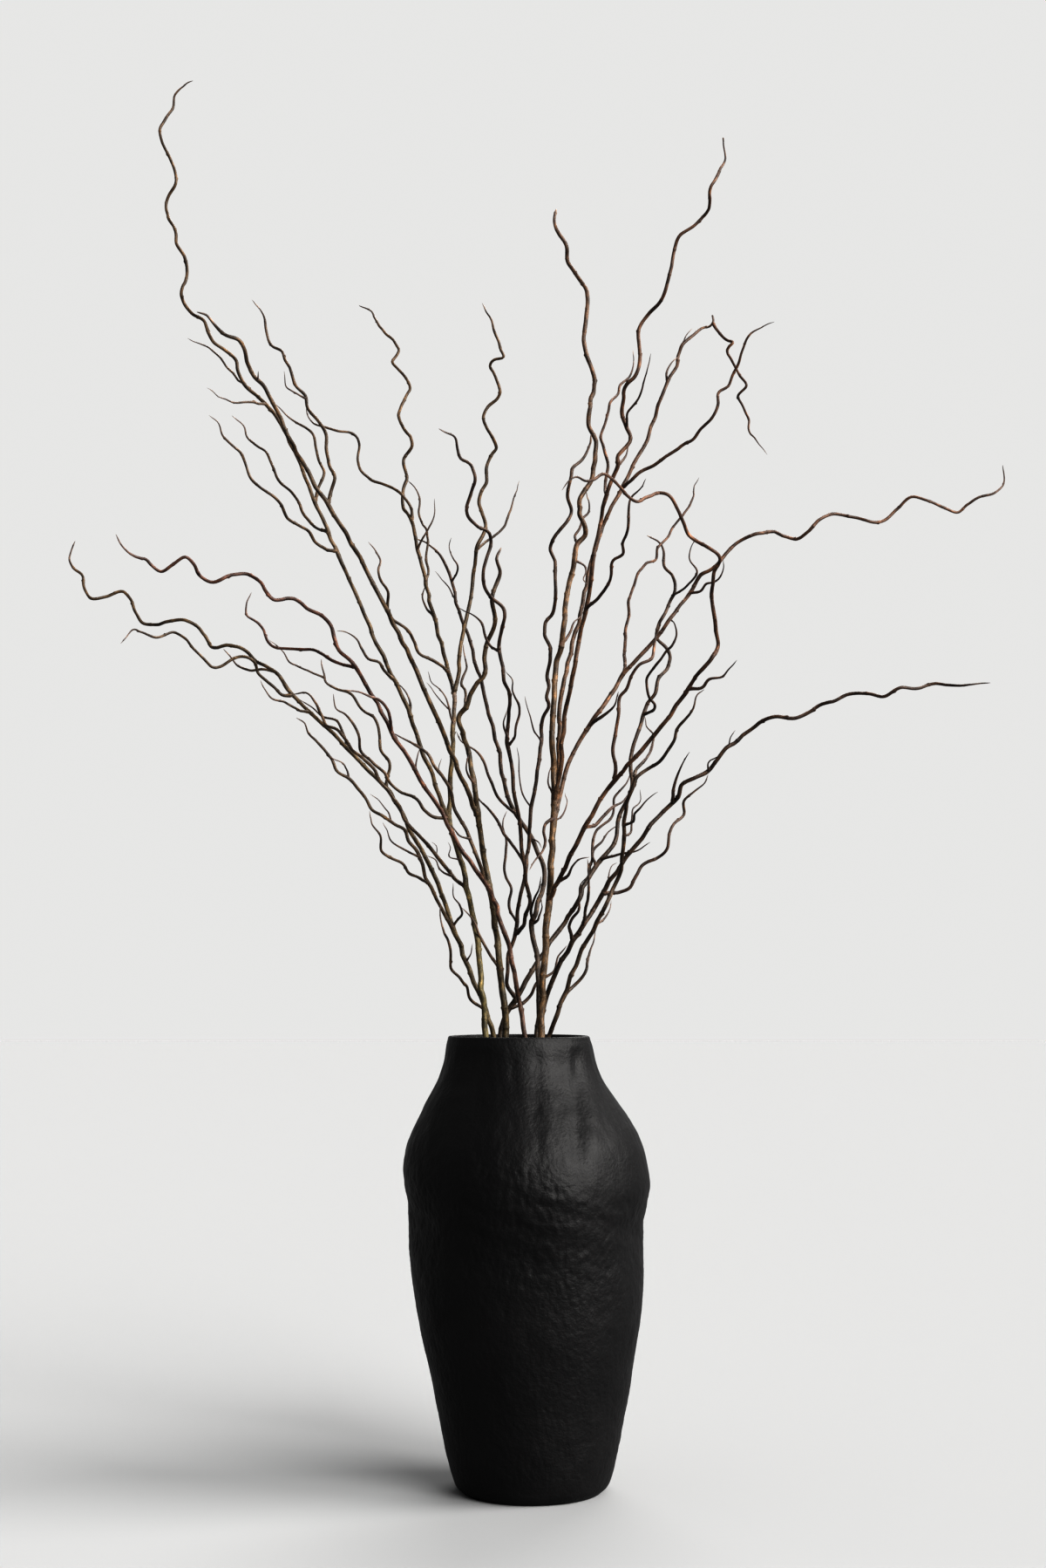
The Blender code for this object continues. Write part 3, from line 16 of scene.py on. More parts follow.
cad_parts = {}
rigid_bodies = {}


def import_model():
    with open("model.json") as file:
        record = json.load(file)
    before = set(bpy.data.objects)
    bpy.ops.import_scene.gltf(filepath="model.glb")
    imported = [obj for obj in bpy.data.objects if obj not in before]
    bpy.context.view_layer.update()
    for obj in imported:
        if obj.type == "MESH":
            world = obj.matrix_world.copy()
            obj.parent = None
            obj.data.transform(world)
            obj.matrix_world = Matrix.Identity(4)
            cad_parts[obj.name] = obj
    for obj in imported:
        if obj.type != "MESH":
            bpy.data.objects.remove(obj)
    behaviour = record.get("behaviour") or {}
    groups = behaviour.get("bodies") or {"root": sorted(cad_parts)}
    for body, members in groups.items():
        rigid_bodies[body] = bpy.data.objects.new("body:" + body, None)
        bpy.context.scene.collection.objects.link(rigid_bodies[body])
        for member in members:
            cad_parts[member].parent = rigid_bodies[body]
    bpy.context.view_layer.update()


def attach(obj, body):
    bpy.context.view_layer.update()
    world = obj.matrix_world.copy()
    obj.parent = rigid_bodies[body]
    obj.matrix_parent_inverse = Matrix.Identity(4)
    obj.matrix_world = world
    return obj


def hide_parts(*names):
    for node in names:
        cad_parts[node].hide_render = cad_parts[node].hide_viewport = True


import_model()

CM = 0.01
MM = 0.001

# noise.noise_vector draws its places from this seed, and without one they differ from run to run
noise.seed_set(7)

# --- the front view the shoots are written in -------------------------------------------
EYE = Vector((-0.0067, -1.894, 0.4296))   # a shoot in front of or behind Y = 0 keeps its place
MOUTH_Z = 38.0                            # cm; below this height positions are not moved
CAMERA_TILT = 5.17                        # degrees above the horizon
LENS = 50.0                               # mm

# --- vase, cm ---------------------------------------------------------------------------
LEAN = -0.0268            # the vase's axis moves this far in X for each cm of height
WALL = 0.65
FLOOR_Z = 0.9
FOOT_FLAT = 5.7           # radius of the flat face it stands on
# outside of the vase: height, left edge, right edge
VASE_SIDES = [
    (0.12, -6.0, 6.1), (0.5, -6.4, 6.55), (1.2, -6.65, 6.85), (3.0, -7.2, 7.35), (6.0, -7.8, 7.95),
    (9.0, -8.4, 8.5), (12.0, -9.1, 9.0), (15.0, -9.75, 9.45), (18.0, -10.2, 9.7), (20.5, -10.45, 9.75),
    (22.5, -10.5, 9.75), (24.0, -10.55, 10.0), (25.5, -10.8, 10.2), (27.0, -10.95, 10.05),
    (28.5, -10.75, 9.75), (30.0, -10.25, 9.15), (31.5, -9.55, 8.25), (33.0, -8.8, 7.15),
    (34.5, -8.0, 6.2), (36.0, -7.5, 5.6), (37.5, -7.25, 5.3), (38.1, -7.1, 5.1),
]
RIM_TOP = 38.25
# hand-formed lumps and dents: bearing (degrees, -90 is the front), height, spread in
# degrees, spread in height, how far out or in
VASE_LUMPS = [
    (-85, 26.0, 36, 5.0, 0.55), (-150, 22.0, 17, 2.4, -0.40), (-22, 21.0, 18, 2.4, -0.40),
    (-128, 30.0, 15, 5.5, -0.30), (-62, 33.0, 9, 4.0, -0.18), (-95, 20.5, 26, 2.0, -0.25),
    (95, 25.5, 34, 5.0, 0.40), (55, 21.5, 18, 2.4, -0.35), (140, 22.5, 17, 2.4, -0.35),
    (118, 31.0, 14, 5.0, -0.20), (-60, 12.0, 30, 5.0, 0.15), (100, 11.0, 32, 5.0, 0.15),
]
# Each branch is a list of shoots.  A shoot is
# (name, shoot it grows from, width at its start, width at its tip, depth at its tip, bends)
# with widths in mm and everything else in cm.  The bends are front-view positions (x, z).
# The first bend is only a mark: the shoot starts on its parent at the nearest place.

OLIVE_LEFT = [
    ("stem", None, 4.8, 3.4, 4.0, [
        (-3.9, 38.3), (-4.0, 40.2), (-4.3, 42.4), (-4.5, 44.6), (-4.65, 46.2), (-4.85, 47.6), (-5.1, 49),
        (-5.4, 50.4), (-5.8, 52), (-6.1, 53.4), (-6.5, 54.9), (-6.95, 56.2), (-7.2, 57.3), (-7.1, 58.6),
        (-7.1, 60.2), (-6.95, 62), (-6.85, 64), (-6.7, 66.2), (-6.7, 68.3)]),
    ("tall_left", "stem", 2.9, 1.1, 25.0, [
        (-6.7, 68.0), (-7.0, 69.3), (-7.35, 70.5), (-7.65, 71.6), (-8.0, 73), (-8.4, 74.5), (-8.8, 76),
        (-9.15, 77.6), (-9.5, 79.2), (-10.0, 80.9), (-10.15, 82.3), (-10.5, 83.6), (-11.15, 84.6),
        (-11.35, 85.5), (-11.2, 86.5), (-11.0, 87.3), (-11.2, 88.6), (-11.0, 89.4), (-10.5, 90.1),
        (-10.6, 90.9), (-11.3, 91.8), (-11.7, 92.8), (-11.55, 93.7), (-11.1, 94.5), (-10.7, 95.2),
        (-11.0, 96.1), (-11.8, 97.1), (-12.3, 97.8), (-11.9, 98.4), (-11.7, 98.9), (-12.6, 100.1),
        (-13.5, 101), (-14.1, 102.2), (-15.3, 102.9)]),
    ("tall_right", "stem", 2.8, 1.0, 9.0, [
        (-6.6, 68.2), (-6.4, 69.6), (-6.2, 71.4), (-5.95, 73.2), (-5.65, 74.8), (-5.3, 76.6), (-5.05, 78.2),
        (-4.9, 79.8), (-4.7, 81.1), (-4.2, 82.2), (-4.0, 83), (-4.3, 84.2), (-4.6, 85.1), (-4.4, 86.1),
        (-3.9, 87), (-3.85, 88.4), (-3.5, 89.3), (-3.0, 90), (-3.4, 90.9), (-4.0, 91.8), (-4.15, 92.7),
        (-3.8, 93.7), (-3.0, 94.4), (-2.7, 95), (-3.1, 96.3), (-3.6, 97.4), (-3.2, 97.95), (-2.4, 98.1),
        (-2.8, 99.3), (-3.3, 100.5), (-3.5, 101.6), (-4.3, 103.1)]),
    ("upper_left", "stem", 3.1, 1.1, 8.0, [
        (-7.2, 57.1), (-7.7, 58.2), (-8.3, 59.8), (-8.8, 61.3), (-9.4, 62.8), (-10.0, 64.7), (-10.7, 66.4),
        (-11.6, 68.4), (-12.5, 70.3), (-13.5, 72.5), (-14.6, 75), (-15.6, 77.2), (-16.6, 79.5),
        (-17.6, 81.7), (-18.5, 83.8), (-19.4, 86), (-20.3, 88.3), (-21.2, 90.3), (-22.2, 92.2),
        (-23.2, 93.7), (-24.3, 94.7), (-25.2, 95.6), (-25.9, 96.8), (-26.3, 98), (-27.2, 98.8),
        (-28.1, 99.5), (-28.6, 100.5), (-29.2, 101.5), (-30.1, 102.1), (-30.9, 103.2), (-31.15, 104),
        (-30.7, 105.1), (-30.6, 106.2), (-31.0, 107.4), (-31.6, 108.5), (-31.7, 109.5), (-32.3, 110.8),
        (-32.6, 111.8), (-32.3, 113), (-31.7, 114.1), (-31.8, 115.2), (-32.5, 116.6), (-33.1, 118),
        (-33.3, 119.1), (-32.8, 120.1), (-32.1, 121.1), (-31.9, 122.3), (-31.3, 123.1), (-30.4, 123.6)]),
    ("back_curl", "tall_left", 1.7, 0.9, -2.0, [
        (-7.3, 69.9), (-8.1, 70.6), (-9.0, 71.2), (-9.8, 71.7), (-10.1, 72.6), (-10.6, 73.5),
        (-11.3, 74.1), (-12.1, 74.7), (-12.55, 75.6), (-12.5, 77), (-13.1, 78), (-13.4, 79),
        (-13.25, 80), (-13.7, 80.8), (-14.3, 81.5)]),
    ("arch", "tall_left", 1.6, 0.8, 16.0, [
        (-10.4, 83.5), (-10.55, 84.6), (-11.2, 85.6), (-12.1, 86.3), (-13.2, 86.8), (-14.3, 87.2),
        (-15.0, 88), (-15.25, 89.3), (-15.25, 90.4), (-15.7, 91.2), (-17.0, 91.5), (-18.2, 91.9),
        (-19.2, 92.1), (-19.75, 92.8), (-19.9, 93.9)]),
    ("close_twist", "tall_left", 1.4, 0.8, 21.5, [
        (-9.2, 78), (-9.0, 79), (-9.25, 80.2), (-9.0, 81.6), (-9.3, 82.8), (-9.9, 84.2), (-9.85, 85.6),
        (-10.3, 86.5), (-10.9, 87.1)]),
    ("spur", "tall_left", 1.2, 0.6, 12.0, [
        (-9.9, 80.9), (-9.5, 82), (-8.8, 83), (-8.45, 84.2), (-8.5, 85.4)]),
    ("wisp", "tall_right", 1.4, 0.6, 17.0, [
        (-4.75, 80.9), (-4.0, 81.5), (-3.1, 82.2), (-2.3, 83), (-1.8, 84.3), (-1.4, 85.8), (-1.0, 87)]),
    ("outer_wave", "upper_left", 1.7, 0.8, -6.0, [
        (-17.2, 80.7), (-18.2, 80.9), (-19.0, 81.5), (-19.6, 82.5), (-20.5, 83.1), (-21.4, 83.7),
        (-22.0, 84.8), (-22.7, 85.6), (-23.9, 86.4), (-24.8, 87.2), (-25.3, 88.4), (-25.8, 89.6),
        (-26.7, 90.4), (-27.3, 91), (-27.7, 92.1), (-28.5, 92.9)]),
    ("inner_wave", "upper_left", 1.6, 0.8, 13.0, [
        (-18.1, 82.4), (-19.2, 83), (-20.0, 83.9), (-20.4, 85), (-21.3, 86.1), (-22.3, 87.1),
        (-22.8, 88.3), (-23.4, 89.6), (-24.5, 90.4), (-25.2, 91), (-25.5, 92), (-26.5, 92.9)]),
    ("rising_twist", "upper_left", 1.5, 0.9, 10.0, [
        (-19.1, 85.1), (-18.7, 86.4), (-18.2, 87.7), (-18.7, 88.7), (-19.0, 90), (-19.3, 91.3),
        (-20.4, 92.1), (-21.6, 92.9), (-22.6, 93.9)]),
    ("side_curl", "upper_left", 1.5, 0.8, 1.0, [
        (-12.1, 69.3), (-12.9, 70.1), (-13.3, 70.9), (-14.3, 71.2), (-14.8, 72), (-15.3, 72.9),
        (-16.2, 73.5), (-17.0, 73.6)]),
    ("short_bow", "upper_left", 1.4, 0.9, 3.2, [
        (-10.6, 66.3), (-10.5, 67.2), (-10.8, 68), (-11.3, 68.6), (-11.9, 69.1)]),
    ("side_reach", "upper_left", 1.3, 0.6, -1.0, [
        (-23.5, 93.9), (-25.0, 94.1), (-26.7, 94.2), (-27.7, 94.7), (-28.7, 95.4)]),
    ("side_fork", "upper_left", 1.3, 0.6, 14.0, [
        (-25.0, 95.3), (-25.9, 96.1), (-26.8, 97.1), (-27.7, 98.3), (-28.6, 99.1), (-29.6, 99.5),
        (-30.5, 99.9)]),
    ("low_reach", "stem", 2.2, 1.3, 9.0, [
        (-5.9, 51), (-6.6, 51.8), (-7.3, 52.7), (-8.2, 53.8), (-9.2, 54.9), (-10.2, 56), (-11.0, 57),
        (-11.6, 58.2), (-12.4, 59.4), (-13.3, 60.6), (-13.7, 61.4), (-14.6, 62.3), (-15.6, 63),
        (-16.2, 64), (-16.9, 64.9), (-17.9, 65.2), (-18.35, 66.2), (-18.9, 67.2), (-19.7, 68.1),
        (-20.8, 68)]),
    ("low_curl", "stem", 1.7, 0.9, -3.0, [
        (-7.2, 57.1), (-8.4, 57.2), (-9.3, 57.8), (-9.9, 58.7), (-11.0, 59.3), (-12.1, 59.9),
        (-12.7, 61), (-13.8, 62), (-14.8, 62.9), (-15.05, 64.2), (-15.6, 65.5), (-16.3, 66.3),
        (-17.1, 66.8), (-17.3, 68)]),
    ("tiny_left", "stem", 1.0, 0.6, -2.4, [(-7.5, 53.1), (-7.1, 53.8), (-6.95, 54.5), (-7.2, 55)]),
    ("grey_rise", "stem", 1.1, 0.6, 1.5, [
        (-6.85, 65.4), (-7.1, 66.2), (-7.25, 67.0), (-7.5, 67.8), (-8.0, 68.5), (-8.6, 69.0), (-9.0, 70)]),
    ("grey_fork", "grey_rise", 0.9, 0.6, -1.0, [(-7.2, 66.7), (-7.8, 67.3), (-8.5, 68.1), (-9.1, 69)]),
    ("hugging_twig", "tall_left", 1.4, 0.8, 15.5, [
        (-8.65, 74.9), (-9.1, 75.6), (-9.45, 76.4), (-9.4, 77.1), (-9.1, 77.9)]),
    ("under_wave", "low_reach", 1.3, 0.8, 1.0, [
        (-6.9, 52.0), (-7.5, 52.3), (-8.0, 52.8), (-8.4, 53.5), (-9.0, 53.8)]),
    ("tiny_far", "low_reach", 0.9, 0.6, 3.5, [(-8.0, 54), (-8.2, 54.7), (-8.6, 55)]),
    ("tiny_high", "stem", 0.9, 0.6, -1.0, [(-7.1, 60), (-7.6, 60.8), (-8.0, 61.5), (-7.8, 62.3)]),
]

THIN_RED = [
    ("stem", None, 3.4, 1.1, -15.0, [
        (-0.45, 38.3), (-0.95, 41), (-1.4, 43.3), (-1.8, 45.6), (-2.5, 47.8), (-3.15, 49.9), (-4.0, 51.6),
        (-5.0, 53), (-5.9, 54.1), (-6.6, 55.4), (-7.3, 56.8), (-8.4, 58.7), (-9.7, 60.7), (-10.9, 62.6),
        (-12.0, 64.4), (-13.0, 66.3), (-13.9, 67.9), (-14.8, 69.5), (-15.7, 70.9), (-16.8, 71.9),
        (-17.2, 73), (-17.5, 74.1), (-18.3, 74.9), (-19.4, 75.5), (-20.4, 76.2), (-21.4, 76.5),
        (-22.7, 76.4), (-23.3, 77), (-23.9, 78), (-24.9, 78.7), (-26.3, 78.6), (-27.2, 78.1),
        (-28.1, 77.9), (-29.1, 78.5), (-29.7, 79.6), (-30.5, 80.2), (-31.5, 79.6), (-32.6, 78.8),
        (-33.4, 79.4), (-34.0, 80.1), (-35.1, 80.3), (-36.0, 81.1), (-36.6, 82.2)]),
    ("step_twig", "stem", 1.6, 0.9, -4.0, [
        (-15.5, 70.3), (-16.6, 70.7), (-17.6, 71.1), (-18.5, 71.6), (-19.4, 72), (-20.8, 71.95),
        (-22.4, 72.05), (-23.1, 72.6), (-23.4, 73.7), (-24.1, 74.5), (-24.9, 75.1), (-25.0, 76),
        (-24.6, 77)]),
    ("drop_loop", "stem", 1.5, 0.9, -13.0, [
        (-12.2, 64.8), (-12.35, 65.8), (-12.7, 66.8), (-13.4, 67.6), (-14.4, 67.95), (-15.6, 68.3),
        (-16.4, 68.4)]),
    ("hook", "stem", 1.2, 0.8, -7.5, [
        (-10.1, 61.3), (-10.0, 62.2), (-9.7, 63.2)]),
]

FAR_LEFT = [
    ("stem", None, 3.9, 1.2, 16.0, [
        (-3.25, 38.3), (-3.7, 39.8), (-4.2, 41.2), (-4.8, 42.7), (-5.4, 44.2), (-6.0, 45.7), (-6.7, 47.4),
        (-7.2, 49), (-7.8, 50.7), (-8.5, 52.3), (-9.2, 53.8), (-10.1, 55.3), (-10.8, 56.6), (-11.3, 57.8),
        (-12.1, 59.1), (-13.2, 60.4), (-14.5, 61.6), (-15.9, 63), (-17.3, 64.5), (-18.9, 66),
        (-20.3, 67.2), (-21.4, 68.5), (-22.1, 69.7), (-23.1, 70.4), (-24.2, 70.9), (-24.9, 71.7),
        (-25.8, 72.2), (-27.0, 72.25), (-28.1, 72.2), (-28.6, 73.2), (-29.3, 74.1), (-30.3, 74.6),
        (-31.6, 74.5), (-33.2, 74.2), (-34.1, 74.3), (-34.8, 75.3), (-35.2, 76.4), (-36.1, 77.05),
        (-37.4, 76.7), (-38.7, 76.5), (-39.2, 77.2), (-39.5, 78.4), (-40.3, 79.2), (-40.75, 80.1),
        (-40.2, 81.6)]),
    ("lower_tip", "stem", 1.7, 0.8, 5.0, [
        (-20.9, 67.9), (-21.8, 67.9), (-22.4, 68.5), (-23.1, 69.1), (-23.9, 69.9), (-24.1, 70.7),
        (-25.0, 71.3), (-26.2, 71.1), (-27.2, 70.5), (-28.0, 70.5), (-28.8, 71.3), (-29.7, 72.1),
        (-30.5, 73), (-31.4, 73.5), (-33.0, 73), (-34.2, 73.5), (-35.0, 73.65), (-36.0, 72.5)]),
    ("middle_wave", "stem", 1.5, 0.9, 20.0, [
        (-21.6, 68.7), (-22.2, 69.9), (-23.3, 70.1), (-24.8, 70.2), (-25.7, 70.5), (-26.3, 71.3),
        (-27.0, 72)]),
    ("left_strand", "stem", 2.0, 1.0, -2.0, [
        (-6.7, 47.4), (-7.4, 48.6), (-8.1, 50), (-8.9, 51.5), (-9.4, 52.8), (-9.9, 54.2), (-10.7, 55.1),
        (-11.0, 56.1), (-11.8, 56.5), (-12.9, 57.3), (-13.9, 57.9), (-14.5, 58.9), (-15.2, 59.7),
        (-15.9, 60.5), (-17.0, 61.2), (-17.5, 62.4), (-18.7, 63.7), (-19.5, 64.5), (-19.8, 65.4),
        (-20.5, 65.9)]),
    ("left_eye", "left_strand", 1.2, 0.8, -1.0, [
        (-15.9, 60.5), (-16.0, 61.2), (-16.4, 61.9), (-17.1, 62.2), (-17.7, 62.6)]),
    ("left_bow", "left_strand", 1.5, 0.9, -5.5, [
        (-8.8, 51.4), (-9.7, 52), (-10.6, 52.3), (-11.2, 53.2), (-12.2, 53.7), (-13.0, 54.3),
        (-13.1, 55.6), (-13.9, 56.6), (-14.05, 57.7)]),
    ("left_tip", "left_strand", 1.2, 0.6, -3.5, [
        (-9.8, 53.7), (-10.7, 54.2), (-12.1, 55), (-12.6, 56), (-12.9, 56.7)]),
    ("dry_tip", "left_strand", 1.0, 0.6, 1.5, [
        (-12.1, 56.9), (-12.4, 57.7), (-13.1, 58.4), (-14.0, 59.2)]),
    ("low_twig", "stem", 1.5, 0.9, -3.5, [
        (-4.25, 40.4), (-5.2, 41.4), (-5.5, 42.5), (-6.1, 43.2), (-6.9, 44.1), (-7.05, 45.8),
        (-7.6, 47.3), (-7.9, 48.4), (-7.85, 49.6)]),
    ("small_hook", "stem", 1.2, 0.6, 2.5, [(-5.55, 44.7), (-5.2, 45.3), (-5.05, 46.2)]),
    ("small_wave", "stem", 1.3, 0.7, -3.0, [
        (-6.5, 47.8), (-6.0, 48.7), (-6.2, 49.5), (-6.7, 50.2), (-6.75, 51.4)]),
    ("inner_strand", "stem", 1.6, 1.0, 12.0, [
        (-12.6, 59.8), (-12.45, 61), (-12.35, 61.9), (-13.0, 63), (-13.2, 64.4), (-13.7, 65.8),
        (-15.0, 66.9), (-15.7, 68), (-17.0, 68.5), (-17.9, 69), (-18.3, 70.2), (-18.4, 71.1)]),
    ("inner_tip", "inner_strand", 1.2, 0.6, 7.0, [
        (-18.1, 69.4), (-19.5, 70.15), (-20.9, 70.65), (-21.7, 71.6), (-22.3, 72.3), (-23.0, 72.8)]),
    ("under_strand", "stem", 1.4, 0.8, 2.0, [
        (-19.4, 66.4), (-20.6, 66.7), (-21.6, 67.35), (-22.7, 67.7), (-23.3, 68.5), (-23.7, 69.2)]),
    ("over_strand", "stem", 1.4, 0.9, 17.0, [
        (-15.9, 63), (-16.4, 64.5), (-17.0, 65.6), (-18.2, 66.1), (-19.1, 66.8), (-20.2, 67.5)]),
]

BROWN_LEFT = [
    ("stem", None, 5.6, 2.2, -9.0, [
        (-2.15, 38.3), (-2.35, 41), (-2.5, 43), (-2.7, 45), (-2.9, 46.8), (-3.15, 48.4), (-3.45, 50),
        (-3.75, 51.6), (-4.0, 53.2), (-4.3, 55), (-4.55, 56.6), (-4.7, 58), (-4.85, 59.6), (-5.05, 61),
        (-5.4, 62.6), (-5.75, 64), (-6.15, 65.2), (-6.25, 66.2), (-5.6, 67), (-5.3, 68), (-4.7, 68.9),
        (-4.1, 69.8), (-4.05, 71.3), (-3.8, 72.5), (-3.3, 73.5), (-3.1, 74.7), (-3.3, 76), (-3.3, 77),
        (-2.7, 78.3), (-2.6, 79), (-3.0, 80.1), (-2.6, 81)]),
    ("upper_left", "stem", 3.3, 1.6, -26.0, [
        (-4.7, 57.3), (-5.3, 58.8), (-5.95, 60.4), (-6.7, 62.3), (-7.5, 64.3), (-8.4, 66.4), (-9.3, 68.5),
        (-10.2, 70.5), (-11.2, 72.6), (-12.2, 74.6), (-13.2, 76.6), (-14.3, 78.7), (-15.5, 80.8),
        (-16.7, 82.9), (-17.9, 84.9), (-19.1, 86.7), (-20.2, 88.6), (-21.3, 90.8), (-22.2, 92.7),
        (-23.2, 94.6), (-23.8, 95.7), (-24.6, 96.4), (-25.1, 97.5), (-25.5, 98.8), (-26.0, 99.7),
        (-27.2, 100.2), (-28.1, 101.1), (-28.9, 102), (-29.7, 102.3)]),
    ("red_side", "stem", 2.3, 1.1, -6.0, [
        (-3.6, 50.8), (-4.15, 52.2), (-4.7, 53.9), (-5.25, 55.3), (-5.9, 56.8), (-6.8, 58), (-7.0, 59.4),
        (-7.7, 60.6), (-8.4, 61.6), (-9.0, 62.7), (-10.2, 63.7), (-11.3, 64.2), (-12.2, 64.6)]),
    ("side_tip", "upper_left", 1.6, 0.8, -14.0, [
        (-17.9, 84.9), (-17.7, 86), (-17.4, 87.4), (-17.9, 88.6), (-18.1, 89.7), (-18.1, 91.2),
        (-18.8, 92.4), (-19.7, 93.5), (-20.0, 94.8), (-20.9, 95.7), (-21.4, 97), (-22.1, 98.6),
        (-23.2, 99.6), (-23.5, 100.6), (-23.7, 101.8), (-24.8, 103.4)]),
    ("side_tip_small", "side_tip", 1.1, 0.6, -20.0, [
        (-20.0, 94.4), (-21.1, 95), (-21.8, 95.6), (-21.9, 96.9)]),
    ("low_left", "stem", 1.6, 0.9, -3.5, [
        (-2.75, 44), (-3.6, 45.2), (-4.3, 46.6), (-4.8, 48), (-5.5, 48.8), (-6.0, 49.3)]),
    ("right_wind", "stem", 1.4, 0.8, 2.0, [
        (-5.8, 66.9), (-5.7, 67.8), (-6.0, 69), (-5.7, 70.3), (-5.8, 71.4), (-5.9, 72.4)]),
    ("eye", "stem", 1.4, 0.9, -7.0, [
        (-5.0, 60.2), (-5.55, 61), (-5.6, 62), (-5.4, 62.8)]),
    ("knot", "upper_left", 1.1, 0.8, -26.0, [(-24.2, 96.1), (-24.2, 96.9)]),
    ("short_cross", "red_side", 1.3, 0.9, -5.5, [
        (-5.5, 55.2), (-6.1, 55.5), (-6.5, 56), (-7.0, 56.6)]),
]

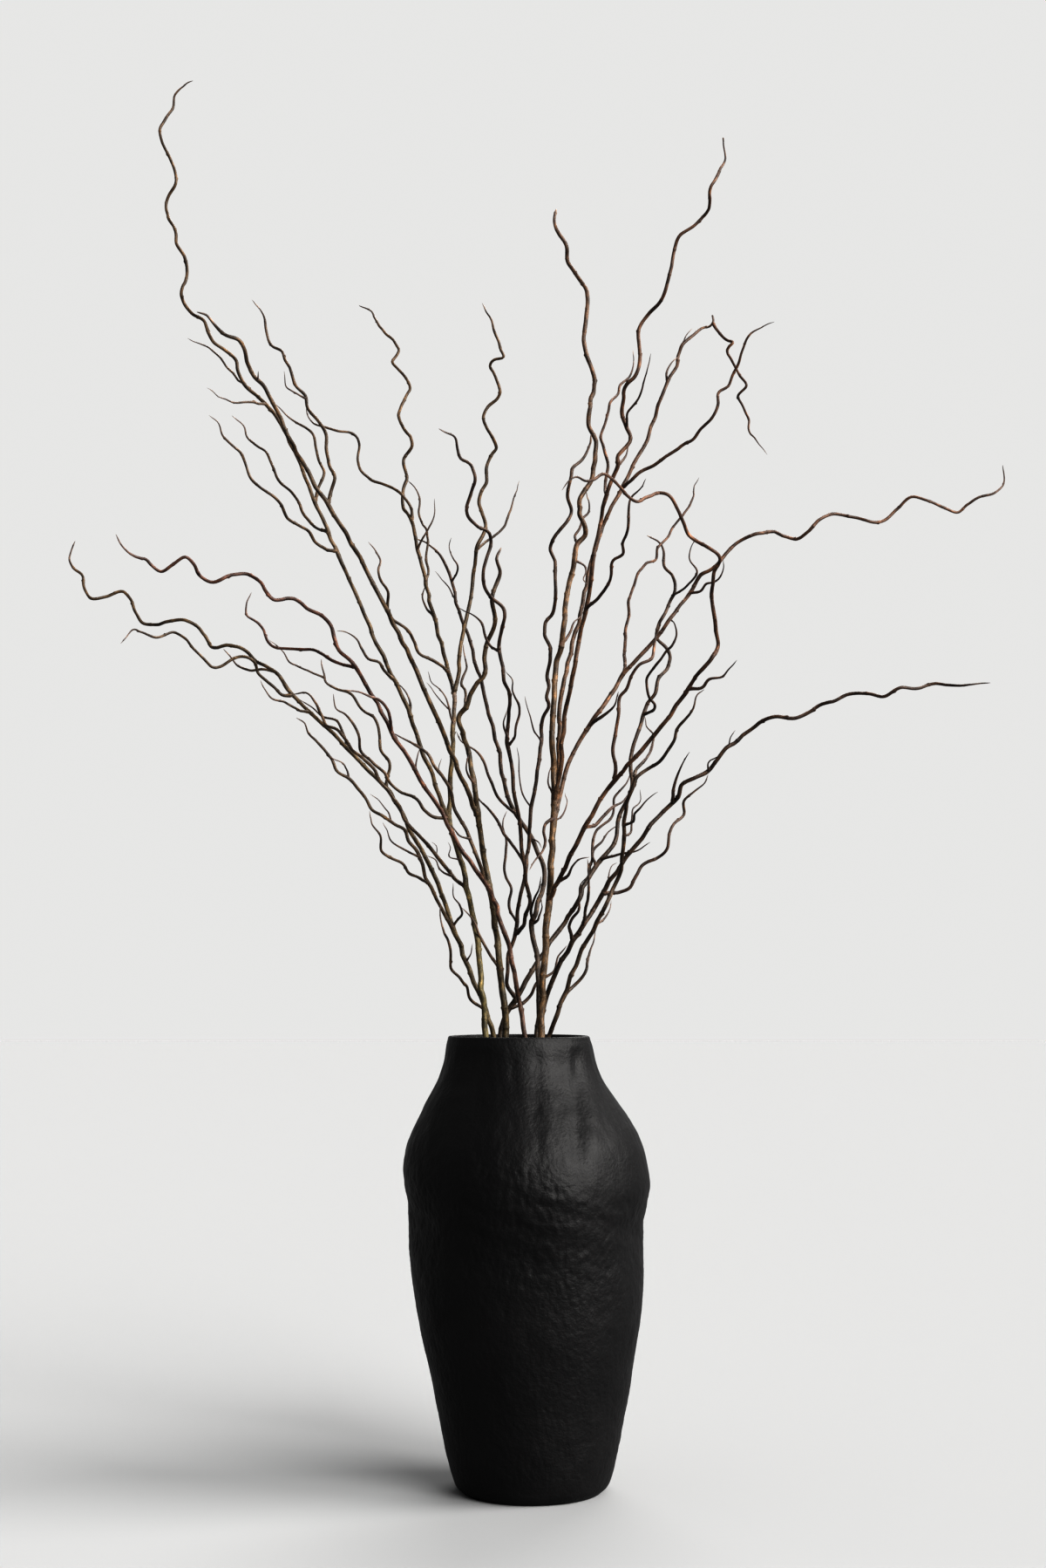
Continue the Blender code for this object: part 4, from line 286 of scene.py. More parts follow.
DARK_CROSSING = [
    ("stem", None, 4.2, 1.4, 20.0, [
        (-2.6, 38.3), (-1.85, 40.5), (-0.9, 42.2), (0.35, 44.3), (1.6, 46.2), (2.9, 48), (4.1, 49.9),
        (4.7, 51.2), (5.3, 52.3), (6.0, 53.4), (6.7, 54.2), (7.3, 55), (7.6, 56.3), (7.8, 57.5),
        (8.4, 58.7), (8.9, 59.9), (8.75, 61.3), (8.85, 62.7), (9.1, 64), (9.7, 65.4), (10.0, 66.4),
        (10.3, 67.3), (10.9, 68.1), (11.2, 69.3), (12.0, 70.3), (12.2, 71.3), (11.9, 72.1), (11.1, 73),
        (11.2, 74.1), (11.8, 75.2), (12.3, 76.4), (12.8, 77.4), (12.4, 78.5), (11.8, 79.3), (11.75, 80.7),
        (11.2, 81.7), (10.3, 82.1)]),
    ("left_twin", "stem", 2.4, 1.7, 3.0, [
        (-1.4, 41.6), (-2.0, 42.4), (-2.1, 43.4), (-1.85, 45.4), (-1.3, 47), (-1.1, 48.8), (-0.9, 50.4),
        (-0.6, 51.8), (-0.45, 53.1), (-0.2, 54.6), (0.0, 56.2), (0.1, 58), (0.35, 60), (0.75, 62),
        (0.95, 63.6), (0.85, 64.8), (1.1, 65.9), (1.55, 66.9), (1.35, 67.7), (1.65, 68.7), (1.5, 69.7),
        (1.75, 71), (1.7, 72.1), (1.2, 73.3), (1.4, 74.4), (2.05, 75.4), (2.3, 76.8), (2.2, 78.3),
        (2.1, 79.7), (1.8, 81), (2.2, 82.3), (3.2, 83.4), (3.6, 84.3), (3.3, 85.6), (3.45, 87),
        (3.7, 88.1), (4.6, 89.1), (5.2, 90.2), (5.35, 91.2)]),
    ("red_rise", "left_twin", 2.4, 1.2, -17.0, [
        (-1.25, 47), (-0.6, 47.7), (-0.45, 48.8), (-0.1, 49.8), (-0.25, 51), (-0.5, 52.3), (-0.75, 54),
        (-0.95, 55.8), (-1.1, 57.5), (-1.4, 59.4), (-1.6, 61), (-1.9, 63), (-2.0, 64.4), (-1.9, 66),
        (-1.9, 67.8), (-2.3, 69.2), (-2.6, 70.8), (-2.8, 72.2), (-2.6, 73.6), (-2.2, 74.8), (-2.4, 75.6),
        (-3.3, 76.5), (-3.95, 77.5), (-4.1, 78.8), (-3.8, 80.1), (-3.45, 81.3), (-3.7, 82.4),
        (-4.7, 83.1), (-5.5, 83.8), (-5.65, 84.8), (-5.2, 86), (-4.9, 87.5), (-5.2, 88.4), (-6.1, 89),
        (-6.4, 90), (-6.6, 90.9), (-8.1, 91.7)]),
    ("small_left", "left_twin", 1.5, 0.8, 9.0, [
        (-1.2, 48.1), (-1.75, 49), (-1.8, 49.9), (-1.6, 50.9), (-2.1, 52), (-2.3, 53.2), (-2.1, 54.7),
        (-2.35, 56), (-2.4, 57), (-2.1, 57.7)]),
    ("long_left", "left_twin", 1.8, 0.9, 9.5, [
        (-0.45, 53), (-1.1, 54), (-2.0, 55.3), (-2.8, 56.8), (-3.7, 58), (-4.6, 59), (-4.9, 60)]),
    ("side_link", "red_rise", 1.4, 0.7, -5.0, [
        (-2.75, 71.8), (-3.6, 72.3), (-4.05, 73.1), (-4.3, 74.2), (-5.1, 75), (-6.4, 75.7)]),
    ("right_loop", "red_rise", 1.3, 0.8, -9.0, [
        (-2.0, 63.5), (-1.4, 64.2), (-1.35, 65.2), (-1.0, 66.2), (-1.0, 67), (-1.35, 67.7),
        (-1.6, 68.4), (-1.6, 69.2), (-2.2, 70)]),
    ("left_loop", "red_rise", 1.4, 0.9, -8.5, [
        (-1.95, 64), (-2.3, 65.3), (-2.1, 66.5)]),
    ("cross_twig", "stem", 1.8, 1.1, 5.5, [
        (-1.7, 40.6), (-0.8, 41), (-0.05, 41.7), (0.55, 42.8), (1.3, 43.3), (2.0, 43.9), (2.4, 45.1),
        (3.1, 46)]),
    ("right_arm", "stem", 1.5, 0.8, 3.5, [
        (6.2, 53.5), (7.0, 53.7), (8.0, 53.95), (9.3, 54.2), (10.4, 55)]),
    ("inner_arm", "stem", 1.5, 0.9, 12.0, [
        (5.4, 53.1), (5.45, 54.4), (6.1, 55.1), (6.8, 55.9), (7.6, 56.5)]),
    ("back_wave", "stem", 1.5, 0.8, 13.5, [
        (5.1, 52), (5.3, 53.6), (5.5, 55.2), (5.9, 56.2), (6.8, 56.8), (7.15, 57.5), (7.3, 58.8),
        (8.0, 59.7), (8.6, 60.7), (8.8, 61.6)]),
    ("small_ring", "stem", 1.2, 0.8, 4.5, [
        (4.25, 50.2), (4.35, 51.2), (4.9, 52)]),
    ("right_ring", "stem", 1.5, 0.9, 6.0, [
        (10.0, 66.2), (10.7, 66.6), (10.8, 67.1), (10.35, 68), (10.2, 69.3), (10.7, 70.3), (11.6, 71.3),
        (12.4, 72.3), (12.8, 73.3), (12.6, 74.2), (12.2, 74.8)]),
    ("top_wave", "stem", 1.3, 0.6, 11.0, [
        (12.5, 76.7), (13.3, 77.3), (14.2, 78.1), (14.65, 79), (14.1, 80), (14.2, 80.9), (14.6, 81.9)]),
    ("outer_twig", "stem", 1.4, 0.9, 19.0, [
        (9.0, 60.3), (9.2, 61.4), (10.0, 62.3), (10.6, 63.3), (10.7, 64.4), (10.2, 65.2), (10.0, 66)]),
    ("pale_rise", "left_twin", 1.0, 0.6, 2.0, [
        (0.9, 63.9), (0.45, 64.6), (0.1, 65.5), (-0.25, 66.6), (-0.5, 67.8)]),
    ("pale_thread", "left_twin", 1.0, 0.6, 2.5, [
        (-0.1, 58), (-0.6, 58.9), (-0.9, 59.6), (-1.0, 60.8), (-1.05, 62.2), (-1.2, 63.3)]),
]

DARK_CENTRE = [
    ("stem", None, 4.6, 1.2, 18.0, [
        (0.5, 38.3), (0.75, 41), (0.7, 43), (0.55, 44.6), (0.3, 46.3), (0.15, 47.8), (0.5, 49.2),
        (0.8, 50.4), (1.15, 51.6), (1.15, 52.7), (0.7, 53.9), (0.2, 55), (-0.5, 56.3), (-1.2, 57.4),
        (-1.8, 58.5), (-2.25, 59.9), (-2.55, 61.5), (-2.85, 63.2), (-3.3, 65), (-3.8, 67), (-4.3, 69),
        (-4.85, 70.8), (-5.2, 72.2), (-5.55, 73.6), (-6.1, 74.9), (-6.6, 76.4), (-6.95, 78),
        (-7.45, 79.3), (-8.1, 80.5), (-9.1, 81.3), (-10.2, 81.9)]),
    ("left_twig", "stem", 1.6, 0.8, 2.0, [
        (-1.3, 57.5), (-2.1, 58.1), (-3.1, 59.4), (-3.7, 60.8), (-4.1, 62.1), (-4.9, 63.1),
        (-6.0, 63.8), (-6.5, 64.7)]),
    ("pale_bud", "stem", 1.5, 0.7, -2.5, [
        (0.2, 48), (0.65, 48.2), (0.95, 49.1), (0.95, 50)]),
    ("left_prong", "stem", 1.5, 0.8, -3.5, [
        (0.15, 48.1), (0.0, 49), (0.3, 50.1), (0.75, 51), (0.9, 52)]),
    ("grey_tip", "stem", 1.1, 0.6, 22.0, [
        (-6.6, 76.2), (-7.1, 77.2), (-7.7, 78.1), (-8.4, 78.9)]),
    ("top_tip", "stem", 1.2, 0.6, 9.0, [
        (-6.9, 78), (-6.55, 78.8), (-6.45, 79.6), (-7.1, 80.6), (-7.25, 81.2), (-7.0, 81.9)]),
    ("thin_rise", "stem", 1.1, 0.6, 3.0, [
        (0.1, 55.4), (0.6, 55.1), (0.95, 54.5)]),
]

RED_BROWN = [
    ("stem", None, 5.8, 2.6, 13.0, [
        (0.85, 38.3), (0.95, 40.5), (1.1, 43), (1.25, 45.5), (1.4, 48), (1.6, 50.5), (1.75, 52.5),
        (1.9, 55), (2.0, 57.5), (2.05, 59.5), (1.95, 61.5), (1.88, 64), (1.95, 66.5), (2.15, 69),
        (2.35, 71), (2.75, 72.6), (2.9, 74.4), (3.15, 76.2), (3.5, 78.2), (3.85, 80), (4.15, 81.4),
        (4.8, 82.3), (4.75, 83.1), (4.4, 83.9), (4.3, 85), (4.7, 86), (5.3, 87), (5.65, 88.4),
        (5.8, 90), (5.6, 91.1), (5.15, 92.1), (5.15, 93.3), (5.5, 94.8), (5.75, 96), (5.4, 97.2),
        (4.95, 98.4), (4.65, 99.9), (4.95, 101.6), (5.15, 103.3), (4.9, 104.5), (4.0, 105.8),
        (3.35, 107), (3.25, 108.4), (2.6, 109.5), (2.15, 110.7), (2.3, 111.7)]),
    ("broken_arm", "stem", 3.6, 1.8, 21.0, [
        (2.1, 58.8), (2.35, 61), (2.5, 63.5), (2.55, 66.5), (2.9, 69.2), (3.4, 71.4), (3.9, 73.3),
        (4.4, 75.2), (4.8, 77.2), (5.3, 79.3), (5.8, 81.2), (6.4, 82.9), (7.1, 84.5), (7.9, 86),
        (8.7, 87.5), (9.5, 89.1), (10.3, 90.8), (11.0, 92.7), (11.7, 94.7), (12.2, 96.1), (13.0, 97.5),
        (13.2, 98.6), (13.5, 99.4), (14.4, 100.1), (15.3, 100.9), (15.9, 101), (16.25, 101.4),
        (16.2, 102)]),
    ("droop", "broken_arm", 1.7, 0.6, 17.0, [
        (16.2, 101.4), (16.6, 100.6), (17.3, 99.9), (17.95, 99.5), (17.5, 98.9), (17.9, 98), (18.6, 96.6),
        (19.15, 95.5), (18.4, 94.7), (18.9, 93.5), (19.35, 92.5), (19.35, 91.6), (20.1, 90.5),
        (20.95, 89.4)]),
    ("curled_top", "stem", 3.4, 1.0, -14.0, [
        (2.3, 58.6), (2.6, 61.5), (2.75, 64), (3.05, 66.2), (3.45, 68.4), (3.8, 70.4), (4.25, 72.6),
        (4.75, 74.8), (5.1, 77), (5.4, 79.4), (5.8, 81.6), (6.3, 83.9), (6.8, 86), (7.3, 87.4),
        (7.8, 88.5), (7.7, 89.3), (8.5, 90.1), (8.85, 91), (8.5, 92), (8.05, 93), (8.3, 94.5),
        (8.4, 95.4), (9.3, 96.5), (9.65, 97.7), (9.7, 99.4), (9.7, 100.8), (10.4, 102.1), (11.5, 103.2),
        (12.15, 104.5), (12.5, 106.2), (12.8, 108), (13.3, 109.2), (14.5, 110.2), (15.6, 111.2),
        (16.0, 112.4), (16.15, 113.9), (17.0, 115.2), (17.5, 116.5), (17.3, 118.3)]),
    ("far_right", "stem", 3.2, 0.9, 10.0, [
        (2.15, 56.8), (2.6, 59), (3.1, 61.1), (3.9, 63.1), (5.0, 65.1), (6.1, 66.6), (7.3, 68.4),
        (8.2, 69.8), (9.1, 70.8), (10.1, 71.9), (11.2, 73.2), (12.2, 74.6), (13.3, 76), (14.2, 77.2),
        (15.0, 78.5), (16.2, 79.3), (17.1, 80.2), (18.2, 81.4), (19.8, 82.2), (21.1, 82.45),
        (22.4, 82.15), (23.5, 81.9), (24.4, 82.5), (25.5, 83.5), (26.7, 84.1), (28.2, 83.85),
        (30.1, 83.3), (31.3, 83.45), (32.5, 84.6), (33.7, 85.5), (35.0, 85.2), (36.6, 84.55),
        (37.8, 84.2), (38.8, 84.9), (39.8, 85.65), (41.1, 86), (41.9, 87), (41.8, 88.4)]),
    ("under_branch", "far_right", 1.8, 0.9, -4.0, [
        (5.1, 65.2), (6.3, 66.1), (7.3, 67), (7.7, 68.2)]),
    ("bent_over", "stem", 3.3, 0.8, -24.0, [
        (1.7, 50), (2.4, 51.6), (3.2, 53.3), (4.0, 54.9), (4.8, 56.6), (5.7, 58.1), (6.7, 59.6),
        (7.8, 61), (9.0, 62.3), (10.2, 63.7), (11.3, 65), (12.3, 66.4), (13.2, 67.6), (14.1, 68.9),
        (15.0, 70.2), (15.9, 71.1), (16.4, 72.1), (16.35, 73.6), (16.15, 75.2), (15.95, 77),
        (16.15, 78.6), (16.65, 79.9), (16.2, 80.7), (15.0, 81.3), (14.0, 82.1), (13.4, 83.3),
        (12.9, 84.5), (12.2, 85.6), (11.3, 85.95), (10.3, 85.6), (9.3, 85.1), (8.5, 85.6), (7.8, 86.5),
        (7.1, 87.3), (6.4, 87.6), (5.6, 87.1), (4.9, 87.05), (4.2, 87.45), (3.5, 87.1), (2.8, 86.2)]),
    ("right_rise", "bent_over", 1.9, 0.9, -9.0, [
        (7.3, 60.4), (7.45, 61.8), (7.25, 63.1), (7.4, 64.7), (7.65, 66.3), (7.75, 67.7), (8.5, 68.6),
        (8.9, 69.6), (9.5, 70.5), (10.6, 71.1), (10.8, 72.1), (11.0, 73.2), (11.5, 74.6), (11.9, 75.5)]),
    ("wander", "far_right", 1.8, 0.7, 19.0, [
        (8.1, 69.7), (8.3, 71), (8.25, 72.4), (8.4, 73.8), (8.7, 75), (8.6, 76.4), (9.1, 77.6),
        (9.5, 78.8), (10.2, 79.6), (11.1, 80), (11.3, 81.1), (12.2, 82.1), (12.6, 83), (13.5, 84.1),
        (14.2, 84.9), (14.45, 86.2), (14.9, 87.3)]),
    ("small_fork", "far_right", 1.4, 0.7, 1.5, [
        (14.2, 76.9), (15.0, 77.1), (15.5, 77.8), (16.5, 78.2), (16.9, 79), (17.0, 79.9)]),
    ("step_tip", "bent_over", 1.6, 0.7, -30.0, [
        (14.1, 68.3), (15.0, 68.6), (15.7, 69.3), (16.9, 69.45), (17.5, 70.2), (18.1, 71)]),
    ("low_arm", "bent_over", 1.6, 0.9, -8.0, [
        (2.5, 51.6), (3.2, 52), (3.7, 52.9), (4.3, 53.5), (5.1, 53.7)]),
    ("mid_arm", "bent_over", 1.9, 1.0, -2.0, [
        (4.8, 56.3), (5.5, 56.5), (6.3, 57.2), (7.2, 58.1), (8.2, 58.7), (8.8, 59.5)]),
    ("long_side", "broken_arm", 2.2, 0.7, 7.0, [
        (8.1, 86.4), (8.9, 87.1), (9.6, 87.7), (10.9, 88.4), (12.2, 89.3), (13.3, 90.1), (14.4, 90.7),
        (15.1, 91.8), (16.1, 92.8), (16.6, 93.8), (16.6, 94.9), (17.5, 95.6), (17.9, 96.5),
        (18.5, 97.6), (18.9, 98.8), (19.4, 100), (20.3, 100.8), (21.7, 101.4)]),
    ("step_rise", "curled_top", 1.6, 0.7, 5.0, [
        (6.4, 85.4), (6.7, 87), (6.85, 88.4), (6.5, 90), (6.3, 91), (6.7, 92.3), (7.0, 93.4),
        (7.1, 94.1), (7.8, 94.8), (7.9, 95.6), (8.8, 96.4), (9.1, 97.3), (9.1, 98.8)]),
    ("thin_side", "curled_top", 1.2, 0.6, -20.0, [
        (8.7, 92), (8.65, 93.1), (9.3, 94), (9.9, 95.3), (10.2, 96.8), (10.7, 98.5)]),
    ("stub", "curled_top", 1.7, 1.2, -3.0, [
        (8.0, 88.4), (8.5, 89.3), (8.65, 90.2)]),
    ("short_side", "broken_arm", 1.5, 0.9, 19.5, [
        (12.2, 96), (12.05, 96.9), (12.5, 97.7), (13.1, 98.2)]),
    ("short_tip", "broken_arm", 1.1, 0.6, 24.0, [(13.3, 99.3), (13.8, 100.1), (14.4, 100.8)]),
    ("right_step", "curled_top", 1.6, 0.7, -24.0, [
        (5.1, 75.6), (5.8, 76.4), (6.6, 77.4), (7.0, 78.5), (7.2, 79.7), (8.1, 80.5), (8.15, 81.6),
        (8.6, 82.8), (8.75, 84.3), (8.9, 85.3), (9.6, 86.2), (10.2, 87.2)]),
    ("strut", "stem", 1.7, 1.1, 6.0, [
        (2.75, 72.4), (3.3, 73.2), (3.8, 74.3), (4.4, 74.9)]),
    ("left_ring", "stem", 1.4, 0.8, 12.0, [
        (4.1, 81.3), (3.95, 82), (4.3, 82.7), (4.55, 83.5), (5.1, 84.1), (5.1, 85.2), (4.9, 86.2)]),
    ("small_loop", "stem", 1.4, 0.8, 5.0, [
        (4.0, 79.9), (4.7, 79.4), (4.85, 78.8), (4.65, 78.2), (5.0, 77.7)]),
    ("low_ring", "stem", 1.5, 0.9, -4.5, [
        (1.9, 57.1), (1.35, 56.7), (1.1, 56), (1.25, 55), (1.0, 54.2), (0.5, 53.6), (-0.1, 52.6)]),
    ("side_ring", "stem", 1.2, 0.8, 5.0, [
        (2.0, 59), (1.6, 60), (1.65, 60.9), (1.85, 61.8)]),
    ("low_wisp", "far_right", 1.1, 0.6, 6.0, [
        (2.3, 56.6), (2.7, 57.3), (3.1, 58.4), (3.0, 59.3)]),
]

LOW_RIGHT = [
    ("stem", None, 4.0, 1.0, -9.0, [
        (0.7, 38.3), (1.1, 41), (1.95, 43.2), (3.0, 45.3), (3.6, 46.4), (4.6, 47.9), (5.4, 49.2),
        (6.2, 50.5), (7.2, 52.1), (8.2, 53.5), (9.3, 54.9), (10.4, 56.3), (11.4, 57.5), (12.3, 58.4),
        (12.9, 59.1), (13.3, 60.1), (14.2, 60.65), (15.5, 61.2), (16.2, 62), (17.0, 63.2), (18.2, 63.95),
        (19.2, 64.8), (20.1, 65.6), (21.4, 65.95), (23.2, 65.8), (24.4, 66.4), (25.4, 67.1),
        (26.5, 67.3), (27.7, 67.95), (29.5, 68), (31.0, 67.85), (32.3, 68.5), (33.8, 68.5), (35.2, 68.85),
        (38.0, 68.75), (40.3, 69)]),
    ("low_wave", "stem", 1.9, 0.9, 3.0, [
        (6.7, 50.2), (7.8, 50.75), (8.7, 51.1), (9.1, 52), (9.6, 52.9), (11.0, 53.6), (11.8, 54.4),
        (12.05, 55.8), (12.6, 56.7), (13.4, 57.4), (13.45, 58.6), (14.4, 59.5), (15.2, 60.2),
        (15.5, 60.9)]),
    ("left_wave", "stem", 1.7, 0.9, -1.0, [
        (3.6, 46.5), (3.35, 47.5), (3.6, 48.3), (4.2, 49.1), (4.25, 50.2), (4.4, 51.4)]),
    ("straight_side", "stem", 1.7, 0.9, -7.0, [
        (4.75, 47.7), (4.85, 49.4), (4.95, 51), (5.0, 52.4), (4.95, 53.5)]),
    ("upper_tip", "stem", 1.7, 0.7, -12.0, [
        (12.4, 58.5), (12.5, 59.7), (12.8, 60.9), (13.3, 62), (13.9, 62.9)]),
    ("small_eye", "stem", 1.1, 0.8, -3.0, [
        (15.5, 61.3), (15.5, 61.9), (16.0, 62.3), (16.5, 62.6)]),
    ("end_wisp", "stem", 1.0, 0.6, -8.0, [(17.3, 63.5), (17.5, 64.2), (17.9, 64.8)]),
    ("grey_side", "stem", 1.1, 0.6, 6.0, [
        (6.7, 51.3), (6.8, 52.2), (7.05, 53), (7.5, 53.2)]),
]

OUTER_RIGHT = [
    ("stem", None, 3.4, 0.9, -14.0, [
        (1.55, 38.3), (2.3, 40.2), (3.0, 42), (3.6, 43.6), (4.3, 45.2), (5.0, 46.6), (5.7, 48), (6.5, 49.5),
        (7.2, 51), (7.75, 52.5), (8.0, 54), (8.1, 55.7), (8.2, 57.2), (8.4, 58.4), (8.9, 59.5),
        (9.3, 60.6), (10.2, 61.4), (11.2, 62), (12.0, 63.1), (12.5, 64), (12.75, 65), (13.6, 65.8),
        (14.2, 66.5), (14.5, 67.7), (15.2, 68.4)]),
    ("low_twig", "stem", 1.7, 0.9, 1.5, [
        (3.0, 41.8), (3.7, 42.5), (4.9, 44), (5.0, 45.2), (5.5, 46.3), (5.6, 47.3)]),
    ("small_side", "stem", 1.4, 0.6, 2.0, [
        (5.75, 47.9), (6.4, 48.3), (6.85, 49.1), (7.0, 49.9)]),
    ("grey_tip", "stem", 1.3, 0.6, -16.0, [
        (8.2, 56.5), (8.8, 56.8), (9.2, 57.7), (10.2, 58.8), (11.1, 59.4)]),
    ("small_ring", "stem", 1.2, 0.6, -3.0, [
        (8.15, 55.5), (8.8, 55.9), (8.85, 57), (8.9, 57.9), (9.5, 58.6), (9.55, 59.6)]),
    ("upper_wave", "stem", 1.7, 0.8, -1.5, [
        (9.0, 59.9), (9.1, 61.2), (9.7, 62), (10.3, 62.7), (10.6, 63.6)]),
]

# name of the node, its shoots, depth at the mouth, and the way through the inside of the
# vase from the cut end up: (x, y, z), where the first two points stand on the floor
BRANCHES = [
    ("branch_olive_left", OLIVE_LEFT, -3.9, [(-2.2, -2.6, 0), (-2.2, -2.6, 2.0), (-3.2, -3.6, 22)]),
    ("branch_thin_red", THIN_RED, -4.7, [(2.9, -1.6, 0), (2.9, -1.6, 2.0), (2.2, -3.9, 22)]),
    ("branch_far_left", FAR_LEFT, 3.4, [(3.4, 1.2, 0), (3.4, 1.2, 2.0), (-0.3, 2.6, 22)]),
    ("branch_brown_left", BROWN_LEFT, -0.6, [(-1.2, 2.2, 0), (-1.2, 2.2, 2.0), (-1.4, 1.4, 22)]),
    ("branch_dark_crossing", DARK_CROSSING, 4.6, [(-4.2, 0.3, 0), (-4.2, 0.3, 2.0), (-5.3, 1.6, 20)]),
    ("branch_dark_centre", DARK_CENTRE, 1.2, [(0.2, -3.9, 0), (0.2, -3.9, 2.0), (-0.1, -2.4, 22)]),
    ("branch_red_brown", RED_BROWN, -2.8, [(1.6, -3.2, 0), (1.6, -3.2, 2.0), (0.9, -4.6, 20)]),
    ("branch_low_right", LOW_RIGHT, 4.3, [(-2.9, 2.8, 0), (-2.9, 2.8, 2.0), (-2.6, 4.4, 22)]),
    ("branch_outer_right", OUTER_RIGHT, -0.5, [(-3.2, -1.0, 0), (-3.2, -1.0, 2.0), (-3.2, -0.6, 22)]),
]

# --- shoots to smooth lines --------------------------------------------------------------
CURL = 0.9                # how much of the front-view curl is repeated in depth
CURL_TURN = (1.0, 1.0, -1.0, -1.0)
SWAY = ((0.42, 9.5), (0.26, 5.3))   # cm; size and length of the slow waves in depth
SWAY_GROWS = 4.0          # cm from a shoot's start over which they reach their size
STEEPEST = 0.85           # a shoot's tip moves no further in depth than this much of its run
STEM_BOW = 1.25           # above 1 a stem starts upright and leans out later
TWIG_BOW = 0.75           # below 1 a twig leaves at an angle and then runs more upright
FOOT_GAP = 0.03           # cm between the cut ends and the floor inside the vase
HIDDEN_WIDTHS = (1.12, 1.1, 1.05)   # widths of a stem inside the vase, against the one at the mouth
STEP = 2.4                # mm between rings along a shoot
TWIG_BARK = 1.25          # mm that bark, buds and scars add to a thin twig's width
BARK_START = (0.5, 1.7)   # mm; a shoot that starts thinner than this has less of it
BARK_THICK = (1.2, 4.5)   # mm; a place that is thicker than this loses a share of it
BARK_LOSS = 0.75          # that share
TIP_FADE = 40.0           # mm from a tip over which the added bark is gone
KINK = 1.0                # mm; how far a shoot strays between its buds
KINK_EVERY = (7.0, 15.0)  # mm
KINK_GROWS = 12.0         # mm from a shoot's start over which it begins to stray
KINK_FADES = 8.0          # mm before its tip over which it stops
SEED_GRID = 4e4           # places in a metre where a shoot can start with turns of its own
FORK_SWELL = 0.14         # how much wider a parent is where a twig leaves


def between(value, low, high):
    """0 below low, 1 above high and a soft rise between them."""
    t = min(1.0, max(0.0, (value - low) / (high - low)))
    return t * t * (3 - 2 * t)


def run_lengths(bends):
    """Distance along the front-view line to each bend, in cm."""
    run = [0.0]
    for a, b in zip(bends, bends[1:]):
        run.append(run[-1] + math.hypot(b[0] - a[0], b[1] - a[1]))
    return run


def curl_at(bends, i):
    """Size of the zigzag at one bend, in cm."""
    if i == 0 or i == len(bends) - 1:
        return 0.0
    dx = bends[i - 1][0] - 2 * bends[i][0] + bends[i + 1][0]
    dz = bends[i - 1][1] - 2 * bends[i][1] + bends[i + 1][1]
    return math.hypot(dx, dz) / 4


def sway_at(start, run):
    """Slow waves of a shoot in depth, in cm. Each shoot's waves begin at a place of their own."""
    wave = sum(size * math.sin(math.tau * run / length + 5 * start[0] + 3 * start[1])
               for size, length in SWAY)
    return wave * min(1.0, run / SWAY_GROWS)


def nearest_on(line, mark):
    """The place on a parent's line nearest to a front-view mark: (x, z, depth, width)."""
    best = None
    for a, b in zip(line, line[1:]):
        ax, az = b[0] - a[0], b[1] - a[1]
        size = ax * ax + az * az
        t = ((mark[0] - a[0]) * ax + (mark[1] - a[1]) * az) / size
        t = min(1.0, max(0.0, t))
        spot = [p + (q - p) * t for p, q in zip(a, b)]
        away = math.hypot(spot[0] - mark[0], spot[1] - mark[1])
        if best is None or away < best[0]:
            best = (away, spot)
    return best[1]


def front_lines(shoots, mouth_depth):
    """Every shoot as a list of (x, z, depth, width) in the front view."""
    lines = {}
    for name, parent, wide, narrow, tip_depth, marks in shoots:
        bends = list(marks)
        depth = mouth_depth
        if parent is not None:
            x, z, depth, _ = nearest_on(lines[parent], bends[0])
            bends[0] = (x, z)
        runs = run_lengths(bends)
        furthest = STEEPEST * runs[-1]
        reach = min(furthest, max(-furthest, tip_depth - depth))
        bow = STEM_BOW if parent is None else TWIG_BOW
        line = []
        for i, run in enumerate(runs):
            t = run / runs[-1]
            turn = CURL_TURN[i % len(CURL_TURN)] * CURL * curl_at(bends, i) + sway_at(bends[0], run)
            line.append((*bends[i], depth + reach * t ** bow + turn, wide + (narrow - wide) * t))
        lines[name] = line
    return lines


def seen_from_front(x, z, depth):
    """World position, in metres, of a front-view point that is moved to a depth."""
    flat = Vector((x * CM, 0, z * CM))
    spot = EYE + (flat - EYE) * ((depth * CM - EYE.y) / -EYE.y)
    if z < MOUTH_Z + 1:
        spot.z = flat.z
    return spot


def smooth_run(points, widths, step):
    """A centripetal Catmull-Rom curve through the points: [(position, width)] about a step apart."""
    ends = [points[0] * 2 - points[1]] + points + [points[-1] * 2 - points[-2]]
    found = []
    for i in range(1, len(ends) - 2):
        p0, p1, p2, p3 = ends[i - 1:i + 3]
        t1 = max((p1 - p0).length, 1e-6) ** 0.5
        t2 = t1 + max((p2 - p1).length, 1e-6) ** 0.5
        t3 = t2 + max((p3 - p2).length, 1e-6) ** 0.5
        count = max(1, round((p2 - p1).length / step))
        for k in range(count):
            t = t1 + (t2 - t1) * k / count
            a1 = p0.lerp(p1, t / t1)
            a2 = p1.lerp(p2, (t - t1) / (t2 - t1))
            a3 = p2.lerp(p3, (t - t2) / (t3 - t2))
            b1 = a1.lerp(a2, t / t2)
            b2 = a2.lerp(a3, (t - t1) / (t3 - t1))
            share = k / count
            found.append((b1.lerp(b2, (t - t1) / (t2 - t1)),
                          widths[i - 1] * (1 - share) + widths[i] * share))
    found.append((points[-1], widths[-1]))
    return found


